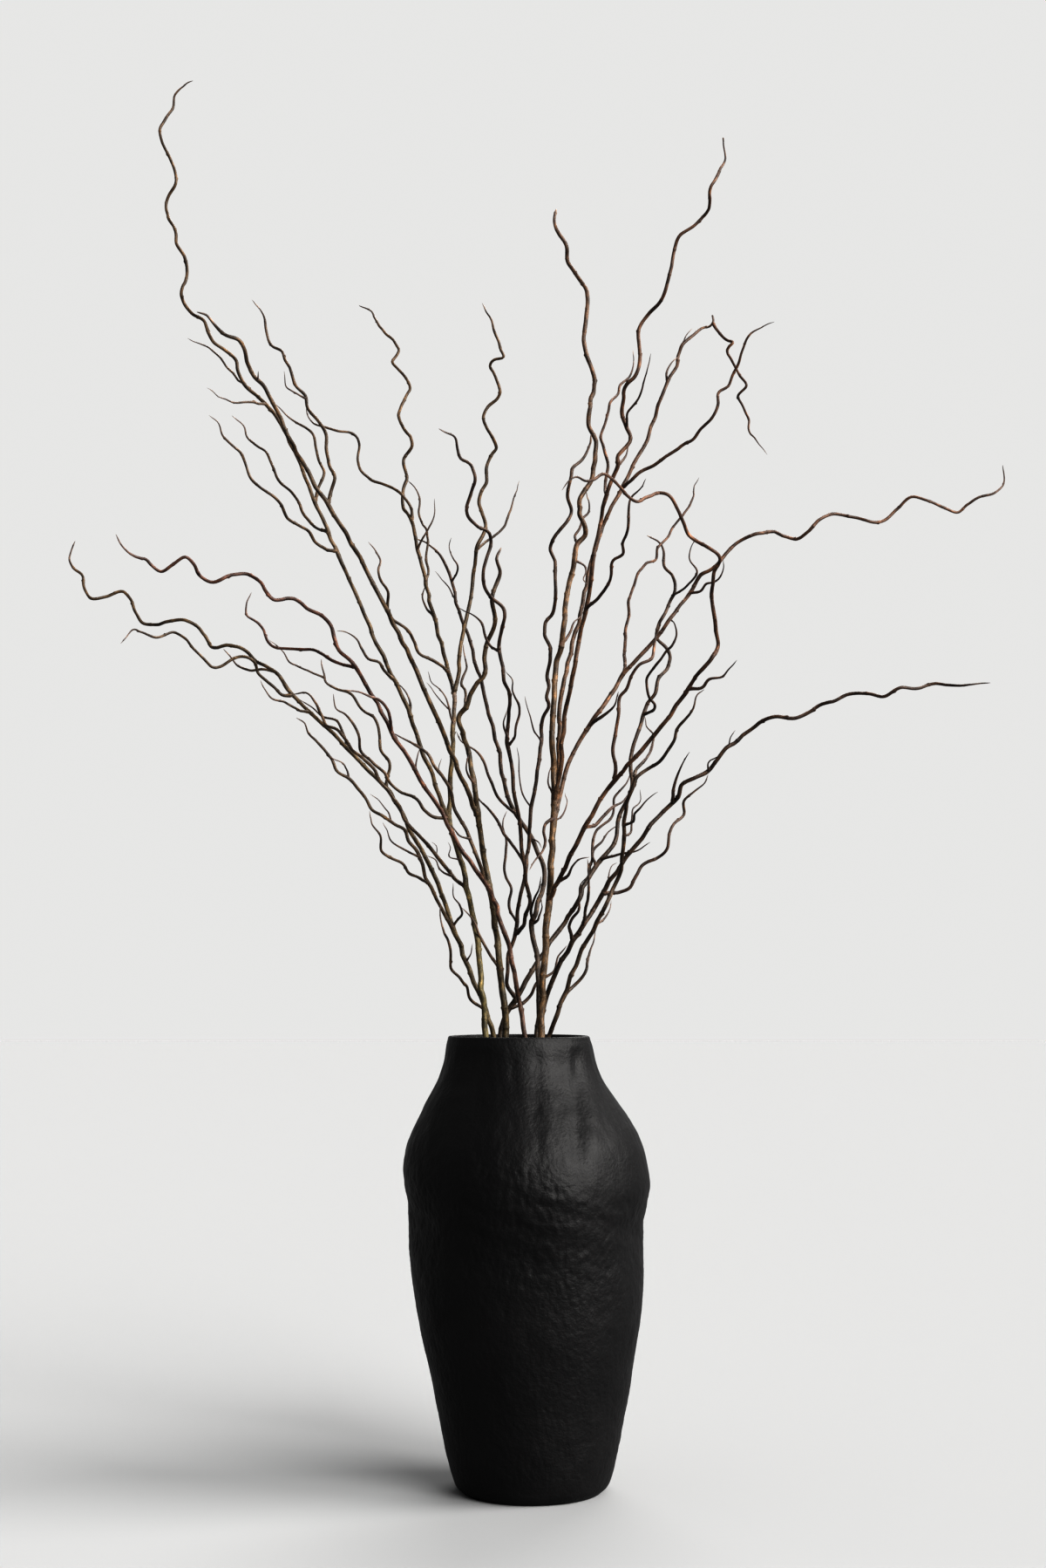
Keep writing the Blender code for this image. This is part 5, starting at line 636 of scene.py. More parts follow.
def kinked(places, start):
    """The same line with the small turns a shoot makes from bud to bud."""
    rng = random.Random(round(start.x * SEED_GRID) * 7 + round(start.z * SEED_GRID))
    length = sum((b[0] - a[0]).length for a, b in zip(places, places[1:]))
    marks = [0.0]
    while marks[-1] < length:
        marks.append(marks[-1] + rng.uniform(*KINK_EVERY) * MM)
    turns = [Vector((0, 0, 0))]
    turns += [Vector([rng.uniform(-1, 1) for _ in range(3)]) for _ in marks[1:]]
    moved = []
    run = 0.0
    nearest = 1
    for i, (place, width) in enumerate(places):
        if i:
            run += (place - places[i - 1][0]).length
        while run > marks[nearest]:
            nearest += 1
        share = (run - marks[nearest - 1]) / (marks[nearest] - marks[nearest - 1])
        turn = turns[nearest - 1].lerp(turns[nearest], share)
        size = KINK * MM * min(1.0, run / (KINK_GROWS * MM)) * min(1.0, (length - run) / (KINK_FADES * MM))
        moved.append((place + turn * size, width))
    return moved


class Shoot:
    """One shoot as a smooth line, ready to be swept: its points, runs and radii, in metres."""

    def __init__(self, name, parent, points, widths):
        self.name = name
        self.parent = parent
        places = kinked(smooth_run(points, widths, STEP * MM), points[0])
        self.points = [place for place, _ in places]
        self.runs = [0.0]
        for a, b in zip(self.points, self.points[1:]):
            self.runs.append(self.runs[-1] + (b - a).length)
        self.length = self.runs[-1]
        self.radii = []
        strong = between(widths[0], *BARK_START)
        for run, (_, width) in zip(self.runs, places):
            tip = between(self.length - run, 0, TIP_FADE * MM)
            bark = TWIG_BARK * tip * strong * (1 - BARK_LOSS * between(width, *BARK_THICK))
            self.radii.append((width + bark) * MM / 2)
        self.swells = []
        self.buds = []
        if parent is not None:
            parent.swell_for(self)

    def swell_for(self, twig):
        """Swell where a twig leaves, and tell the twig how thick this shoot is there."""
        away = [(point - twig.points[0]).length_squared for point in self.points]
        nearest = away.index(min(away))
        twig.parent_radius = self.radii[nearest]
        self.swells.append((self.runs[nearest], FORK_SWELL * twig.radii[0] / self.radii[nearest]))

    def at(self, run):
        """Position, radius and direction at a run, between the stored samples."""
        low, high = 0, len(self.runs) - 1
        while high - low > 1:
            middle = (low + high) // 2
            if self.runs[middle] <= run:
                low = middle
            else:
                high = middle
        span = max(self.runs[high] - self.runs[low], 1e-9)
        t = min(1.0, max(0.0, (run - self.runs[low]) / span))
        way = (self.points[high] - self.points[low]).normalized()
        return (self.points[low].lerp(self.points[high], t),
                self.radii[low] * (1 - t) + self.radii[high] * t, way)


def branch_shoots(shoots, mouth_depth, inside):
    """All the shoots of a branch, the stem first."""
    made = {}
    parents = {name: parent for name, parent, *_ in shoots}
    for name, line in front_lines(shoots, mouth_depth).items():
        points = [seen_from_front(*place[:3]) for place in line]
        widths = [place[3] for place in line]
        if name == "stem":
            lowest = FLOOR_Z + FOOT_GAP
            points = [Vector((x * CM, y * CM, max(z, lowest) * CM)) for x, y, z in inside] + points
            widths = [widths[0] * share for share in HIDDEN_WIDTHS] + widths
        made[name] = Shoot(name, made.get(parents[name]), points, widths)
    return list(made.values())


# --- shoots to bark-covered tubes --------------------------------------------------------
TUBE_SIDES = ((3.0, 12), (1.25, 8), (0.0, 6))   # above so many mm at its start, so many sides
FLARE = 0.75              # how much wider a twig is where it grows out of its parent
FLARE_FROM = 0.6          # share of the parent's radius where the flare starts to narrow
HIDDEN_RADIUS = 0.9       # a twig's radius inside its parent, at most, as a share of the parent's
UNEVEN = ((11.0, 0.0, 0.10), (3.7, 7.0, 0.05))   # thick and thin stretches: mm long, layer, share
KNOT_SWELL = 0.12         # how much wider a shoot is at a bud
KNOT_LENGTH = 0.7         # mm
RIDGES = ((0.035, 3, 1), (0.02, 5, -2))   # low ridges along a shoot: share, how many, how they twist
RIDGE_TWIST = 0.02        # radians from ring to ring
TIP_RADIUS = 0.35         # a pointed tip's radius as a share of the shoot's
TIP_LENGTH = 4.0          # mm over which it narrows
TIP_POINT = 0.5           # mm that the last point stands out
KNOB_LENGTH = 1.6         # mm
KNOB_END = 0.55           # share of a knob's width at its last ring
BUD_EVERY = (17.0, 34.0)  # mm between buds
BUD_LAST = 3.0            # mm from the tip
BUD_TURN = 2.4            # radians round the shoot from one bud to the next
BUD_STRAY = 0.5           # radians more or less
BUD_TALL = 0.42           # mm that a bud stands out of a thread
BUD_TALLER = 0.36         # mm more on a shoot of the next radius
BUD_RADIUS = 2.4          # mm
BUD_SIZES = (0.7, 1.25)   # from bud to bud
BUD_LENGTHS = (4.2, 6.0)  # times its height
BUD_NOSE = 0.25           # share of its length that its upper end adds
BUD_WIDTH = 0.55          # radians
BUD_RINGS = (-0.8, -0.45, -0.15, 0.06, 0.2)   # places of rings along a bud, in its lengths
CLOSEST_RINGS = 0.22      # mm
LAST_GAP = 0.3            # mm between the last two rings, at least
KNOTS = {                 # a swollen or broken end: node and shoot, and its width in mm
    ("branch_red_brown", "curled_top"): 2.6,
    ("branch_red_brown", "broken_arm"): 3.0,
    ("branch_red_brown", "stub"): 2.2,
}


class Bud:
    """A bud: how far along its shoot, where round it, how far it stands out and how long it is."""

    def __init__(self, run, turn, tall, length):
        self.run = run
        self.turn = turn
        self.tall = tall
        self.length = length


def add_buds(shoot, rng):
    """Buds in a spiral up the shoot, smaller towards the tip."""
    run = rng.uniform(*BUD_EVERY) * 0.5 * MM
    turn = rng.uniform(0, math.tau)
    while run < shoot.length - BUD_LAST * MM:
        radius = shoot.at(run)[1]
        tall = (BUD_TALL + BUD_TALLER * radius / (BUD_RADIUS * MM)) * rng.uniform(*BUD_SIZES) * MM
        shoot.buds.append(Bud(run, turn, tall, tall * rng.uniform(*BUD_LENGTHS)))
        turn += BUD_TURN + rng.uniform(-BUD_STRAY, BUD_STRAY)
        run += rng.uniform(*BUD_EVERY) * MM


def ring_runs(shoot):
    """Where the rings go: a step apart, and closer where a bud needs its shape."""
    runs = list(shoot.runs)
    for bud in shoot.buds:
        runs += [bud.run + bud.length * share for share in BUD_RINGS]
    kept = [0.0]
    for run in sorted(runs):
        if run - kept[-1] > CLOSEST_RINGS * MM and run < shoot.length - LAST_GAP * MM:
            kept.append(run)
    kept.append(shoot.length)
    return kept


def bud_lift(shoot, run, angle):
    """How far the bark stands out at one place because of a bud."""
    lift = 0.0
    for bud in shoot.buds:
        along = (run - bud.run) / bud.length
        if -1.0 < along <= 0.0:
            shape = 0.5 + 0.5 * math.cos(math.pi * along)
        elif 0.0 < along < BUD_NOSE:
            shape = 1.0 - along / BUD_NOSE
        else:
            continue
        side = (angle - bud.turn + math.pi) % math.tau - math.pi
        lift += bud.tall * shape * math.exp(-(side / BUD_WIDTH) ** 2)
    return lift


def bark_radius(shoot, run, radius, seed):
    """Radius of a ring with its swellings, without what changes round the ring."""
    uneven = sum(noise.noise((run / (length * MM), seed, layer)) * share
                 for length, layer, share in UNEVEN)
    swell = sum(size * math.exp(-((run - at) / (2.2 * radius + 1.5 * MM)) ** 2)
                for at, size in shoot.swells)
    knot = sum(KNOT_SWELL * math.exp(-((run - bud.run) / (KNOT_LENGTH * MM)) ** 2) for bud in shoot.buds)
    full = radius * (1 + uneven + swell + knot)
    if shoot.parent is not None:
        inside = shoot.parent_radius
        out = max(0.0, run - inside * FLARE_FROM)
        full *= 1 + FLARE * math.exp(-out / (1.1 * radius + 0.5 * MM))
        if run < inside:
            full = min(full, inside * HIDDEN_RADIUS)
    return full


def end_radius(full, radius, left, knob, last):
    """The radius of a ring, narrowed or swollen where little of the shoot is left."""
    if knob is None:
        return full * min(1.0, TIP_RADIUS + (1 - TIP_RADIUS) * left / (TIP_LENGTH * MM))
    full += (knob * MM / 2 - radius) * math.exp(-(left / (KNOB_LENGTH * MM)) ** 2)
    return full * (KNOB_END if last else 1.0)


def new_mesh(name, verts, faces):
    mesh = bpy.data.meshes.new(name)
    mesh.from_pydata(verts, [], faces)
    return mesh


def ring_faces(rings, sides):
    """Four-sided faces between rings that follow each other and have as many points each."""
    faces = []
    for i in range(rings - 1):
        for k in range(sides):
            a = i * sides + k
            b = i * sides + (k + 1) % sides
            faces.append((a, b, b + sides, a + sides))
    return faces


def tube_mesh(name, shoot, sides, seed, knob):
    """A closed tube along a shoot, with a flat start and a pointed or knobbed end."""
    runs = ring_runs(shoot)
    way = shoot.at(0.0)[2]
    side = way.orthogonal().normalized()
    verts = []
    ridge_turn = seed * 1.7
    for run in runs:
        centre, radius, new_way = shoot.at(run)
        side = way.rotation_difference(new_way) @ side
        side = (side - new_way * side.dot(new_way)).normalized()
        way = new_way
        across = way.cross(side)
        full = bark_radius(shoot, run, radius, seed)
        full = end_radius(full, radius, shoot.length - run, knob, run == shoot.length)
        ridge_turn += RIDGE_TWIST
        for k in range(sides):
            angle = math.tau * k / sides
            ridges = sum((share * math.sin(count * angle + twist * ridge_turn)
                          for share, count, twist in RIDGES), 1.0)
            out = full * ridges + bud_lift(shoot, run, angle)
            verts.append(centre + side * (math.cos(angle) * out) + across * (math.sin(angle) * out))
    faces = ring_faces(len(runs), sides)
    start = len(verts)
    verts.append(shoot.points[0])
    verts.append(shoot.points[-1] + way * (TIP_POINT * MM))
    last = start - sides
    for k in range(sides):
        faces.append((start, (k + 1) % sides, k))
        faces.append((start + 1, last + k, last + (k + 1) % sides))
    return new_mesh(name, verts, faces)


def joined(name, tubes):
    """One closed mesh of many overlapping closed tubes."""
    objects = [placed(mesh.name, mesh) for mesh in tubes]
    first = objects[0]
    for other in objects[1:]:
        join = first.modifiers.new(other.name, "BOOLEAN")
        join.operation = "UNION"
        join.solver = "MANIFOLD"
        join.object = other
    graph = bpy.context.evaluated_depsgraph_get()
    mesh = bpy.data.meshes.new_from_object(first.evaluated_get(graph))
    mesh.name = name
    for obj in objects:
        old = obj.data
        bpy.data.objects.remove(obj)
        bpy.data.meshes.remove(old)
    return mesh


def branch_mesh(node, shoots):
    """The whole branch as one closed mesh."""
    rng = random.Random(node)
    tubes = []
    for number, shoot in enumerate(shoots):
        add_buds(shoot, rng)
        thick = shoot.radii[0] * 2 / MM
        sides = next(count for width, count in TUBE_SIDES if thick > width)
        seed = number * 3.1 + len(node)
        tubes.append(tube_mesh(f"{node}_{shoot.name}", shoot, sides, seed, KNOTS.get((node, shoot.name))))
    return joined(node + "_bark", tubes)


# --- vase --------------------------------------------------------------------------------
BEARINGS = 420            # points round each ring of the vase
OUTER_RINGS = 203
INNER_RINGS = 10
OUTLINE_STEP = 0.1        # cm between the rows of the smooth outline
LIP = 0.22                # cm; roundness of the lip outside
LIP_INSIDE = 0.14         # cm; and inside
LIP_HEIGHT = 0.12         # cm that the lip begins below the last row of the outline
INNER_LOW = 1.2           # cm; the inner wall goes straight down from here
INNER_END = 0.4           # cm above the floor where it ends
FLOOR_EDGE = ((0.15, 0.35), (0.0, 1.2))   # rounded edge of the floor: cm above it, cm in from the wall
SKIN = 0.034              # cm; height of the hammered bumps
BUMP_SCALE = 2.6          # bumps in a cm
BUMP_SQUASH = 0.62        # they are taller than wide
BUMP_BEND = 0.35          # cm that their pattern is bent
BUMP_EDGE = (29.0, 1.5)   # cm; they fade out at this height, from so far below it to so far above
EDGE_SLANT = 0.6          # cm that it is lower for each cm to the right of the middle
STREAKS = 0.05            # cm; depth of the upright finger marks in the neck
RIPPLES = 0.035           # cm; depth of the slanting ripples on the shoulder
RIPPLE_BAND = (23.0, 3.4)  # cm; their height and half the height of their band
# slow waves of the wall: cm deep, how many in a cm, and where in the noise they start
UNEVEN_WALL = ((0.06, 0.33, (0, 0, 0)), (0.035, 0.8, (3, 1, 5)))
FRONT_BEARING = -75       # where the skin is worked the most
FRONT_SPREAD = 70
# soft swellings of the front: bearing, height, spread in degrees, spread in height, how far out
SWELLINGS = [(-70, 22.9, 30, 3.1, 0.38)]
# upright folds of the neck as seen from the front and from the back: x, half width, how far out
NECK_FOLDS = {
    "front": [(-0.7, 0.7, 0.05), (0.5, 0.45, -0.05), (1.6, 0.8, 0.07), (3.85, 0.6, -0.20),
              (5.3, 0.6, 0.06), (-4.2, 1.1, -0.14)],
    "back": [(1.4, 2.2, 0.13), (-2.3, 0.6, -0.16), (4.4, 0.9, -0.10), (-4.9, 0.8, 0.05)],
}


def turn_between(bearing, middle):
    """Degrees from one bearing to another, the short way round."""
    return (bearing - middle + 180) % 360 - 180


def lumps_at(bearing, z, lumps=VASE_LUMPS):
    """How far the lumps push the outside out or in at one place, in cm."""
    return sum(out * math.exp(-(turn_between(bearing, middle) / spread) ** 2 - ((z - height) / tall) ** 2)
               for middle, height, spread, tall, out in lumps)


def smooth_outline():
    """The vase's outline as a smooth curve: rows of height, left edge, right edge."""
    corners = [Vector(corner) for corner in VASE_SIDES]
    return np.array([tuple(place) for place, _ in smooth_run(corners, [0.0] * len(corners), OUTLINE_STEP)])


OUTLINE = smooth_outline()


def side_extents(z):
    """Left and right edges of the vase at a height, in cm."""
    return [float(np.interp(z, OUTLINE[:, 0], OUTLINE[:, column])) for column in (1, 2)]


def vase_radius(bearing, z):
    """Distance of the outside from the leaning axis, in cm."""
    left, right = side_extents(z)
    axis = LEAN * z
    mean = (right - left) / 2
    turn = math.cos(math.radians(bearing))
    widest = right - axis if turn > 0 else axis - left
    return mean + (widest - mean) * turn * turn + lumps_at(bearing, z)


def neck_folds(spot, z):
    """Upright folds pressed into the neck, in cm."""
    side = "front" if spot.y < 0 else "back"
    x = spot.x + LEAN * z
    folds = sum(out * math.exp(-((x - middle) / half) ** 2) for middle, half, out in NECK_FOLDS[side])
    return folds * between(abs(spot.y), 0.6, 3.0)


def hammered(spot, z, front):
    """Hammered bumps, in cm: deepest on the front, and nearly gone above a slanting edge."""
    edge = BUMP_EDGE[0] - EDGE_SLANT * min(max(spot.x, 0.0), 6.0)
    body = 1 - between(z, edge - BUMP_EDGE[1], edge + BUMP_EDGE[1])
    bent = spot + noise.noise_vector(spot * 0.9) * BUMP_BEND
    bent.z *= BUMP_SQUASH
    cell = noise.voronoi(bent * BUMP_SCALE)[0][0]
    bumps = 0.6 - (cell / 0.5) ** 2 + 0.5 * noise.noise(spot * 2.3)
    strength = (0.55 + 0.45 * front) * (0.07 + 0.93 * body) * (0.5 + 0.5 * between(z, 14, 24))
    return SKIN * strength * between(z, 0.2, 3.0) * bumps


def ripples(spot, z, along, front):
    """Ripples that slant round the shoulder, in cm."""
    slant = z * 2.1 + along * 0.9 + 1.2 * noise.noise(spot * 0.5)
    middle, half = RIPPLE_BAND
    return RIPPLES * math.sin(slant) * math.exp(-((z - middle) / half) ** 2) * (0.4 + 0.6 * front)


def skin_at(bearing, z, radius):
    """Hand-worked surface of the outside, in cm: bumps, ripples, swellings, folds and finger marks."""
    angle = math.radians(bearing)
    spot = Vector((radius * math.cos(angle), radius * math.sin(angle), z))
    front = math.exp(-(turn_between(bearing, FRONT_BEARING) / FRONT_SPREAD) ** 2)
    depth = hammered(spot, z, front)
    depth += sum(deep * noise.noise(spot * scale + Vector(place)) for deep, scale, place in UNEVEN_WALL)
    depth += ripples(spot, z, radius * angle, front)
    depth += lumps_at(bearing, z, SWELLINGS)
    neck = between(z, 25.5, 29.5) * (1 - between(z, 36.6, 37.7))
    streaks = noise.noise(Vector((spot.x * 1.5, spot.y * 1.5, z * 0.10)))
    return depth + neck * (neck_folds(spot, z) + STREAKS * streaks)


def level(radius):
    """The same radius for every bearing."""
    return lambda bearing: radius


def foot_edge(z, turn):
    """Radius of the edge between the flat of the foot and the side, which is rounded by a turn."""
    return lambda bearing: FOOT_FLAT + (vase_radius(bearing, z) - FOOT_FLAT) * math.sin(turn)


def outside_at(z, shrink=0.0):
    """Radius of the outside at a height for every bearing, with its skin, less a little."""
    def radius_at(bearing):
        radius = vase_radius(bearing, z)
        return radius + skin_at(bearing, z, radius) - shrink
    return radius_at


def inside_at(z, shrink=0.0):
    """Radius of the inner wall, less a little: it follows the outside, without the skin."""
    def radius_at(bearing):
        wall = WALL * (1 - 0.35 * between(z, 35.5, 37.6))
        return vase_radius(bearing, z) - 0.5 * lumps_at(bearing, z) - wall - shrink
    return radius_at


def ring(z, radius_at):
    """One ring of the vase: a point for every bearing."""
    points = []
    for k in range(BEARINGS):
        bearing = 360 * k / BEARINGS
        radius = radius_at(bearing)
        angle = math.radians(bearing)
        points.append(((LEAN * z + radius * math.cos(angle)) * CM, radius * math.sin(angle) * CM, z * CM))
    return points


def vase_rings():
    """Every ring from the middle of the base, up the outside, over the lip and down to the floor."""
    low = VASE_SIDES[0][0]
    high = VASE_SIDES[-1][0] - LIP_HEIGHT
    lip = RIM_TOP - high
    rings = [ring(0.0, level(2.5)), ring(0.0, level(FOOT_FLAT))]
    for share in (0.03, 0.3, 0.65):
        turn = share * math.pi / 2
        rings.append(ring(low * (1 - math.cos(turn)), foot_edge(low, turn)))
    for k in range(OUTER_RINGS):
        z = low + (high - low) * k / (OUTER_RINGS - 1)
        rings.append(ring(z, outside_at(z)))
    for k in range(1, 7):
        turn = k / 7 * math.pi / 2
        rings.append(ring(high + lip * math.sin(turn), outside_at(high, LIP * (1 - math.cos(turn)))))
    for k in range(7):
        turn = k / 6 * math.pi / 2
        z = RIM_TOP - lip * (1 - math.cos(turn))
        rings.append(ring(z, inside_at(high, -LIP_INSIDE * (1 - math.sin(turn)))))
    for k in range(1, INNER_RINGS + 1):
        z = high + (FLOOR_Z + INNER_END - high) * k / INNER_RINGS
        rings.append(ring(z, inside_at(max(z, INNER_LOW))))
    for rise, shrink in FLOOR_EDGE:
        rings.append(ring(FLOOR_Z + rise, inside_at(INNER_LOW, shrink)))
    rings.append(ring(FLOOR_Z, level(2.0)))
    return rings


def build_vase():
    rings = vase_rings()
    count = len(rings) * BEARINGS
    base = tuple(reversed(range(BEARINGS)))
    floor = tuple(range(count - BEARINGS, count))
    mesh = new_mesh("vase_skin", sum(rings, []), ring_faces(len(rings), BEARINGS) + [base, floor])
    mesh.polygons.foreach_set("use_smooth", [True] * len(mesh.polygons))
    return placed("vase_skin", mesh)


# --- looks -------------------------------------------------------------------------------
def shader(name):
    """A new material: its nodes, its links and its Principled BSDF."""
    material = bpy.data.materials.new(name)
    material.use_nodes = True
    tree = material.node_tree
    return material, tree.nodes, tree.links, tree.nodes["Principled BSDF"]


def textured(nodes, links, kind, scale, source, **settings):
    """A procedural texture fed from a coordinate socket."""
    node = nodes.new(kind)
    node.inputs["Scale"].default_value = scale
    for name, value in settings.items():
        node.inputs[name].default_value = value
    links.new(source, node.inputs["Vector"])
    return node


def ramp(nodes, links, source, stops):
    """A colour ramp from a value: stops are (position, colour)."""
    node = nodes.new("ShaderNodeValToRGB")
    points = node.color_ramp.elements
    while len(points) < len(stops):
        points.new(0.5)
    for point, (position, colour) in zip(points, stops):
        point.position = position
        point.color = (*colour, 1.0)
    links.new(source, node.inputs["Fac"])
    return node.outputs["Color"]


def grey(value):
    return (value, value, value)


def mix(nodes, links, first, blend="MIX"):
    """A colour mix of a first colour with another: its share, its second colour and its result."""
    node = nodes.new("ShaderNodeMix")
    node.data_type = "RGBA"
    node.blend_type = blend
    node.inputs["Factor"].default_value = 1.0
    links.new(first, node.inputs[6])
    return node.inputs["Factor"], node.inputs[7], node.outputs[2]


def multiplied(nodes, links, first, second):
    _, socket, result = mix(nodes, links, first, "MULTIPLY")
    links.new(second, socket)
    return result


def roughened(nodes, links, body, height, strength, distance):
    """A bump on the whole surface from a height, as deep as a distance in metres."""
    bump = nodes.new("ShaderNodeBump")
    bump.inputs["Strength"].default_value = strength
    bump.inputs["Distance"].default_value = distance
    links.new(height, bump.inputs["Height"])
    links.new(bump.outputs["Normal"], body.inputs["Normal"])


def vase_look():
    """Matte black, with a faint dusty bloom and a fine grain."""
    material, nodes, links, body = shader("matte_black")
    place = nodes.new("ShaderNodeTexCoord").outputs["Object"]
    cloud = textured(nodes, links, "ShaderNodeTexNoise", 14.0, place, Detail=6.0, Roughness=0.6)
    tint = ramp(nodes, links, cloud.outputs["Fac"],
                [(0.3, (0.0034, 0.0034, 0.0036)), (0.72, (0.0060, 0.0058, 0.0060))])
    links.new(tint, body.inputs["Base Color"])
    patch = textured(nodes, links, "ShaderNodeTexNoise", 60.0, place, Detail=3.0)
    dull = ramp(nodes, links, patch.outputs["Fac"], [(0.3, grey(0.49)), (0.7, grey(0.57))])
    links.new(dull, body.inputs["Roughness"])
    body.inputs["Specular IOR Level"].default_value = 0.14
    peel = textured(nodes, links, "ShaderNodeTexNoise", 340.0, place, Detail=2.5, Roughness=0.55)
    roughened(nodes, links, body, peel.outputs["Fac"], 0.5, 1.2 * MM)
    return material


def attribute(nodes, name, output):
    node = nodes.new("ShaderNodeAttribute")
    node.attribute_name = name
    return node.outputs[output]


def bark_look(name):
    """Thin bark: its colour comes from the shoot, broken up by streaks along the grain whose golden bright
    end is a painted highlight, blotches and pale pores.
    """
    material, nodes, links, body = shader(name)
    colour = attribute(nodes, "bark", "Color")
    along = attribute(nodes, "grain", "Vector")
    streaks = textured(nodes, links, "ShaderNodeTexNoise", 520.0, along, Detail=5.0, Roughness=0.7)
    # the streaks darken and lighten the bark along its grain, and their golden stop above 1 paints
    # highlights onto it
    grain_tone_and_highlight = ramp(nodes, links, streaks.outputs["Fac"],
                 [(0.38, grey(0.40)), (0.52, grey(0.91)), (0.68, (2.1, 1.8, 1.33))])
    place = nodes.new("ShaderNodeTexCoord").outputs["Object"]
    blotch = textured(nodes, links, "ShaderNodeTexNoise", 75.0, place, Detail=3.0)
    patch = ramp(nodes, links, blotch.outputs["Fac"], [(0.37, grey(0.50)), (0.63, grey(1.42))])
    skin = multiplied(nodes, links, multiplied(nodes, links, colour, grain_tone_and_highlight), patch)
    pores = textured(nodes, links, "ShaderNodeTexVoronoi", 560.0, place)
    spots = ramp(nodes, links, pores.outputs["Distance"], [(0.10, grey(0.75)), (0.19, grey(0.0))])
    share, pale, flecked = mix(nodes, links, skin)
    links.new(spots, share)
    pale.default_value = (0.114, 0.094, 0.070, 1.0)
    links.new(flecked, body.inputs["Base Color"])
    dull = ramp(nodes, links, streaks.outputs["Fac"], [(0.3, grey(0.62)), (0.75, grey(0.42))])
    links.new(dull, body.inputs["Roughness"])
    body.inputs["Specular IOR Level"].default_value = 0.17
    roughened(nodes, links, body, streaks.outputs["Fac"], 0.55, 0.4 * MM)
    return material


# --- colours of the shoots ----------------------------------------------------------------
# linear colours from the thick foot of a branch to its thin tips
BARK = {
    "branch_olive_left": ((0.0599, 0.0506, 0.0238), (0.0433, 0.0293, 0.0186), (0.0274, 0.0164, 0.0130)),
    "branch_thin_red": ((0.0491, 0.0325, 0.0215), (0.0461, 0.0241, 0.0176), (0.0343, 0.0171, 0.0142)),
    "branch_far_left": ((0.0550, 0.0447, 0.0215), (0.0415, 0.0293, 0.0186), (0.0293, 0.0171, 0.0136)),
    "branch_brown_left": ((0.0506, 0.0398, 0.0238), (0.0388, 0.0266, 0.0171), (0.0274, 0.0159, 0.0130)),
    "branch_dark_crossing": ((0.0352, 0.0266, 0.0186), (0.0325, 0.0211, 0.0154), (0.0262, 0.0154, 0.0130)),
    "branch_dark_centre": ((0.0363, 0.0274, 0.0201), (0.0325, 0.0211, 0.0154), (0.0274, 0.0159, 0.0130)),
    "branch_red_brown": ((0.0576, 0.0388, 0.0228), (0.0475, 0.0274, 0.0186), (0.0315, 0.0171, 0.0136)),
    "branch_low_right": ((0.0372, 0.0274, 0.0196), (0.0336, 0.0215, 0.0159), (0.0274, 0.0159, 0.0130)),
    "branch_outer_right": ((0.0378, 0.0293, 0.0201), (0.0336, 0.0228, 0.0159), (0.0274, 0.0159, 0.0130)),
}
DRY_TIP = (0.089, 0.070, 0.061)
DRY_SHARE = 0.75          # how much of that colour a tip has
DRY_LENGTH = 26           # mm from the tip over which most of it is gone
THIN_TO_THICK = (0.8, 2.8, 5.5)   # mm; widths with the thin, the middle and the thick colour
TINT_SPREAD = 0.13        # how much lighter or darker one shoot is than another, at most
GRAIN_STRETCH = 0.24      # the streaks are drawn out along a shoot by one over this


def mixed(first, second, share):
    return tuple(a + (b - a) * share for a, b in zip(first, second))


def colour_at(node, width, left, tint):
    """Bark colour for a shoot of some width in mm, with some length in mm left to its tip."""
    thick, middle, thin = BARK[node]
    low, half, high = THIN_TO_THICK
    if width > half:
        colour = mixed(middle, thick, between(width, half, high))
    else:
        colour = mixed(thin, middle, between(width, low, half))
    colour = mixed(colour, DRY_TIP, DRY_SHARE * math.exp(-left / DRY_LENGTH))
    return tuple(channel * tint for channel in colour)


def paint(mesh, node, shoots):
    """Give every vertex the colour of the nearest shoot and a coordinate that runs along it."""
    samples = []
    for shoot in shoots:
        way = shoot.at(0.0)[2]
        side = way.orthogonal().normalized()
        tint = 1.0 + TINT_SPREAD * noise.noise((len(samples) * 0.37, len(node), 0.5))
        for point, run, radius in zip(shoot.points, shoot.runs, shoot.radii):
            new_way = shoot.at(run)[2]
            side = way.rotation_difference(new_way) @ side
            way = new_way
            colour = colour_at(node, radius * 2 / MM, (shoot.length - run) / MM, tint)
            samples.append((point, side.copy(), way.cross(side), run, colour))
    tree = KDTree(len(samples))
    for i, sample in enumerate(samples):
        tree.insert(sample[0], i)
    tree.balance()
    colours = []
    grains = []
    for vert in mesh.vertices:
        point, side, across, run, colour = samples[tree.find(vert.co)[1]]
        away = vert.co - point
        grains += [away.dot(side), away.dot(across), run * GRAIN_STRETCH]
        colours += [*colour, 1.0]
    mesh.attributes.new("bark", "FLOAT_COLOR", "POINT").data.foreach_set("color", colours)
    mesh.attributes.new("grain", "FLOAT_VECTOR", "POINT").data.foreach_set("vector", grains)


# --- the scene ------------------------------------------------------------------------------
FLOOR_REACH = 14.0        # m from the vase to each side
FLOOR_COLOUR = (0.1916, 0.1939, 0.1958, 1.0)   # lit by the suns and the world, it has the world's tone
WORLD_COLOUR = (0.873, 0.872, 0.867, 1.0)
SUN_COLOUR = (1.0, 0.985, 0.965)
VIEW_GAMMA = 0.6          # deepens the dark tones
# large soft lights: azimuth from the camera's side towards +X, elevation, power, angle across
SUNS = {
    "key": (35, 30, 7.7, 36),
    "low": (55, 9, 5.2, 34),
    "side": (80, 32, 8.5, 36),
    "behind": (168, 44, 3.4, 40),
}


def placed(name, data):
    obj = bpy.data.objects.new(name, data)
    bpy.context.scene.collection.objects.link(obj)
    return obj


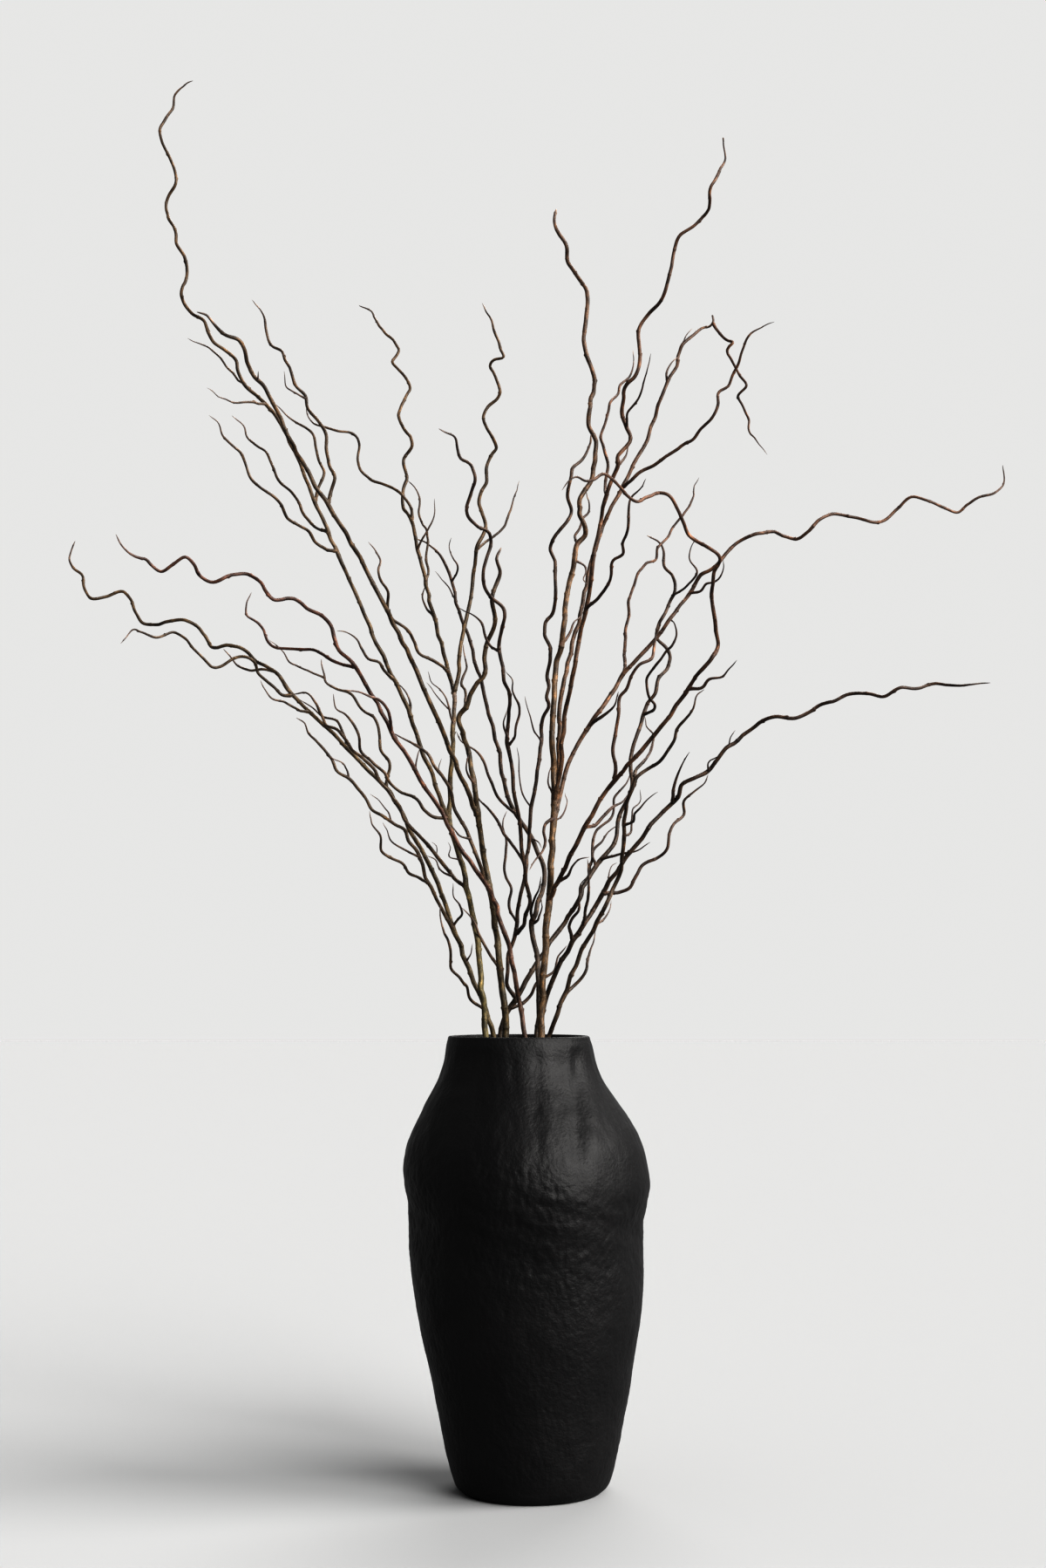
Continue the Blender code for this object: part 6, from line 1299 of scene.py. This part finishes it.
def build_floor():
    """A plain pale floor that runs far back."""
    far = FLOOR_REACH
    corners = [(-far, -far, 0), (far, -far, 0), (far, far, 0), (-far, far, 0)]
    mesh = new_mesh("floor", corners, [range(4)])
    material, _, _, body = shader("pale_floor")
    body.inputs["Base Color"].default_value = FLOOR_COLOUR
    body.inputs["Roughness"].default_value = 0.85
    body.inputs["Specular IOR Level"].default_value = 0.0
    mesh.materials.append(material)
    placed("floor", mesh)


def soft_sun(name, azimuth, elevation, power, spread):
    """A large soft light; its angles are in degrees."""
    lamp = bpy.data.lights.new(name, "SUN")
    lamp.energy = power
    lamp.angle = math.radians(spread)
    lamp.color = SUN_COLOUR
    turn, rise = math.radians(azimuth), math.radians(elevation)
    way = Vector((-math.sin(turn) * math.cos(rise), math.cos(turn) * math.cos(rise), -math.sin(rise)))
    placed(name, lamp).rotation_euler = way.to_track_quat("-Z", "Y").to_euler()


def light_scene():
    """A pale even surround, and soft lights from the right and from behind."""
    world = bpy.data.worlds.new("studio")
    world.use_nodes = True
    around = world.node_tree.nodes["Background"]
    around.inputs["Color"].default_value = WORLD_COLOUR
    around.inputs["Strength"].default_value = 1.0
    scene = bpy.context.scene
    scene.world = world
    scene.view_settings.view_transform = "Standard"
    scene.view_settings.gamma = VIEW_GAMMA
    for name, settings in SUNS.items():
        soft_sun(name, *settings)


def aim_camera():
    """The camera of the photograph: in front of the vase, tilted up a little."""
    camera = bpy.data.cameras.new("camera")
    camera.lens = LENS
    camera.sensor_width = 36.0
    camera.sensor_fit = "AUTO"
    obj = placed("camera", camera)
    obj.location = EYE
    obj.rotation_euler = (math.radians(90 + CAMERA_TILT), 0, 0)
    bpy.context.scene.camera = obj


SLOTS = {
    "branch_olive_left": "olive_bark",
    "branch_thin_red": "red_bark",
    "branch_far_left": "olive_bark",
    "branch_brown_left": "brown_bark",
    "branch_dark_crossing": "dark_bark",
    "branch_dark_centre": "dark_bark",
    "branch_red_brown": "red_brown_bark",
    "branch_low_right": "dark_bark",
    "branch_outer_right": "dark_bark",
}

vase = build_vase()
vase.data.materials.append(vase_look())
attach(vase, "root")
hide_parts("vase")

for node, shoots, mouth_depth, inside in BRANCHES:
    lines = branch_shoots(shoots, mouth_depth, inside)
    bark = branch_mesh(node, lines)
    paint(bark, node, lines)
    bark.polygons.foreach_set("use_smooth", [True] * len(bark.polygons))
    bark.materials.clear()
    bark.materials.append(bark_look(SLOTS[node] + "_" + node))
    piece = placed(node + "_bark", bark)
    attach(piece, "root")
    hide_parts(node)

build_floor()
light_scene()
aim_camera()
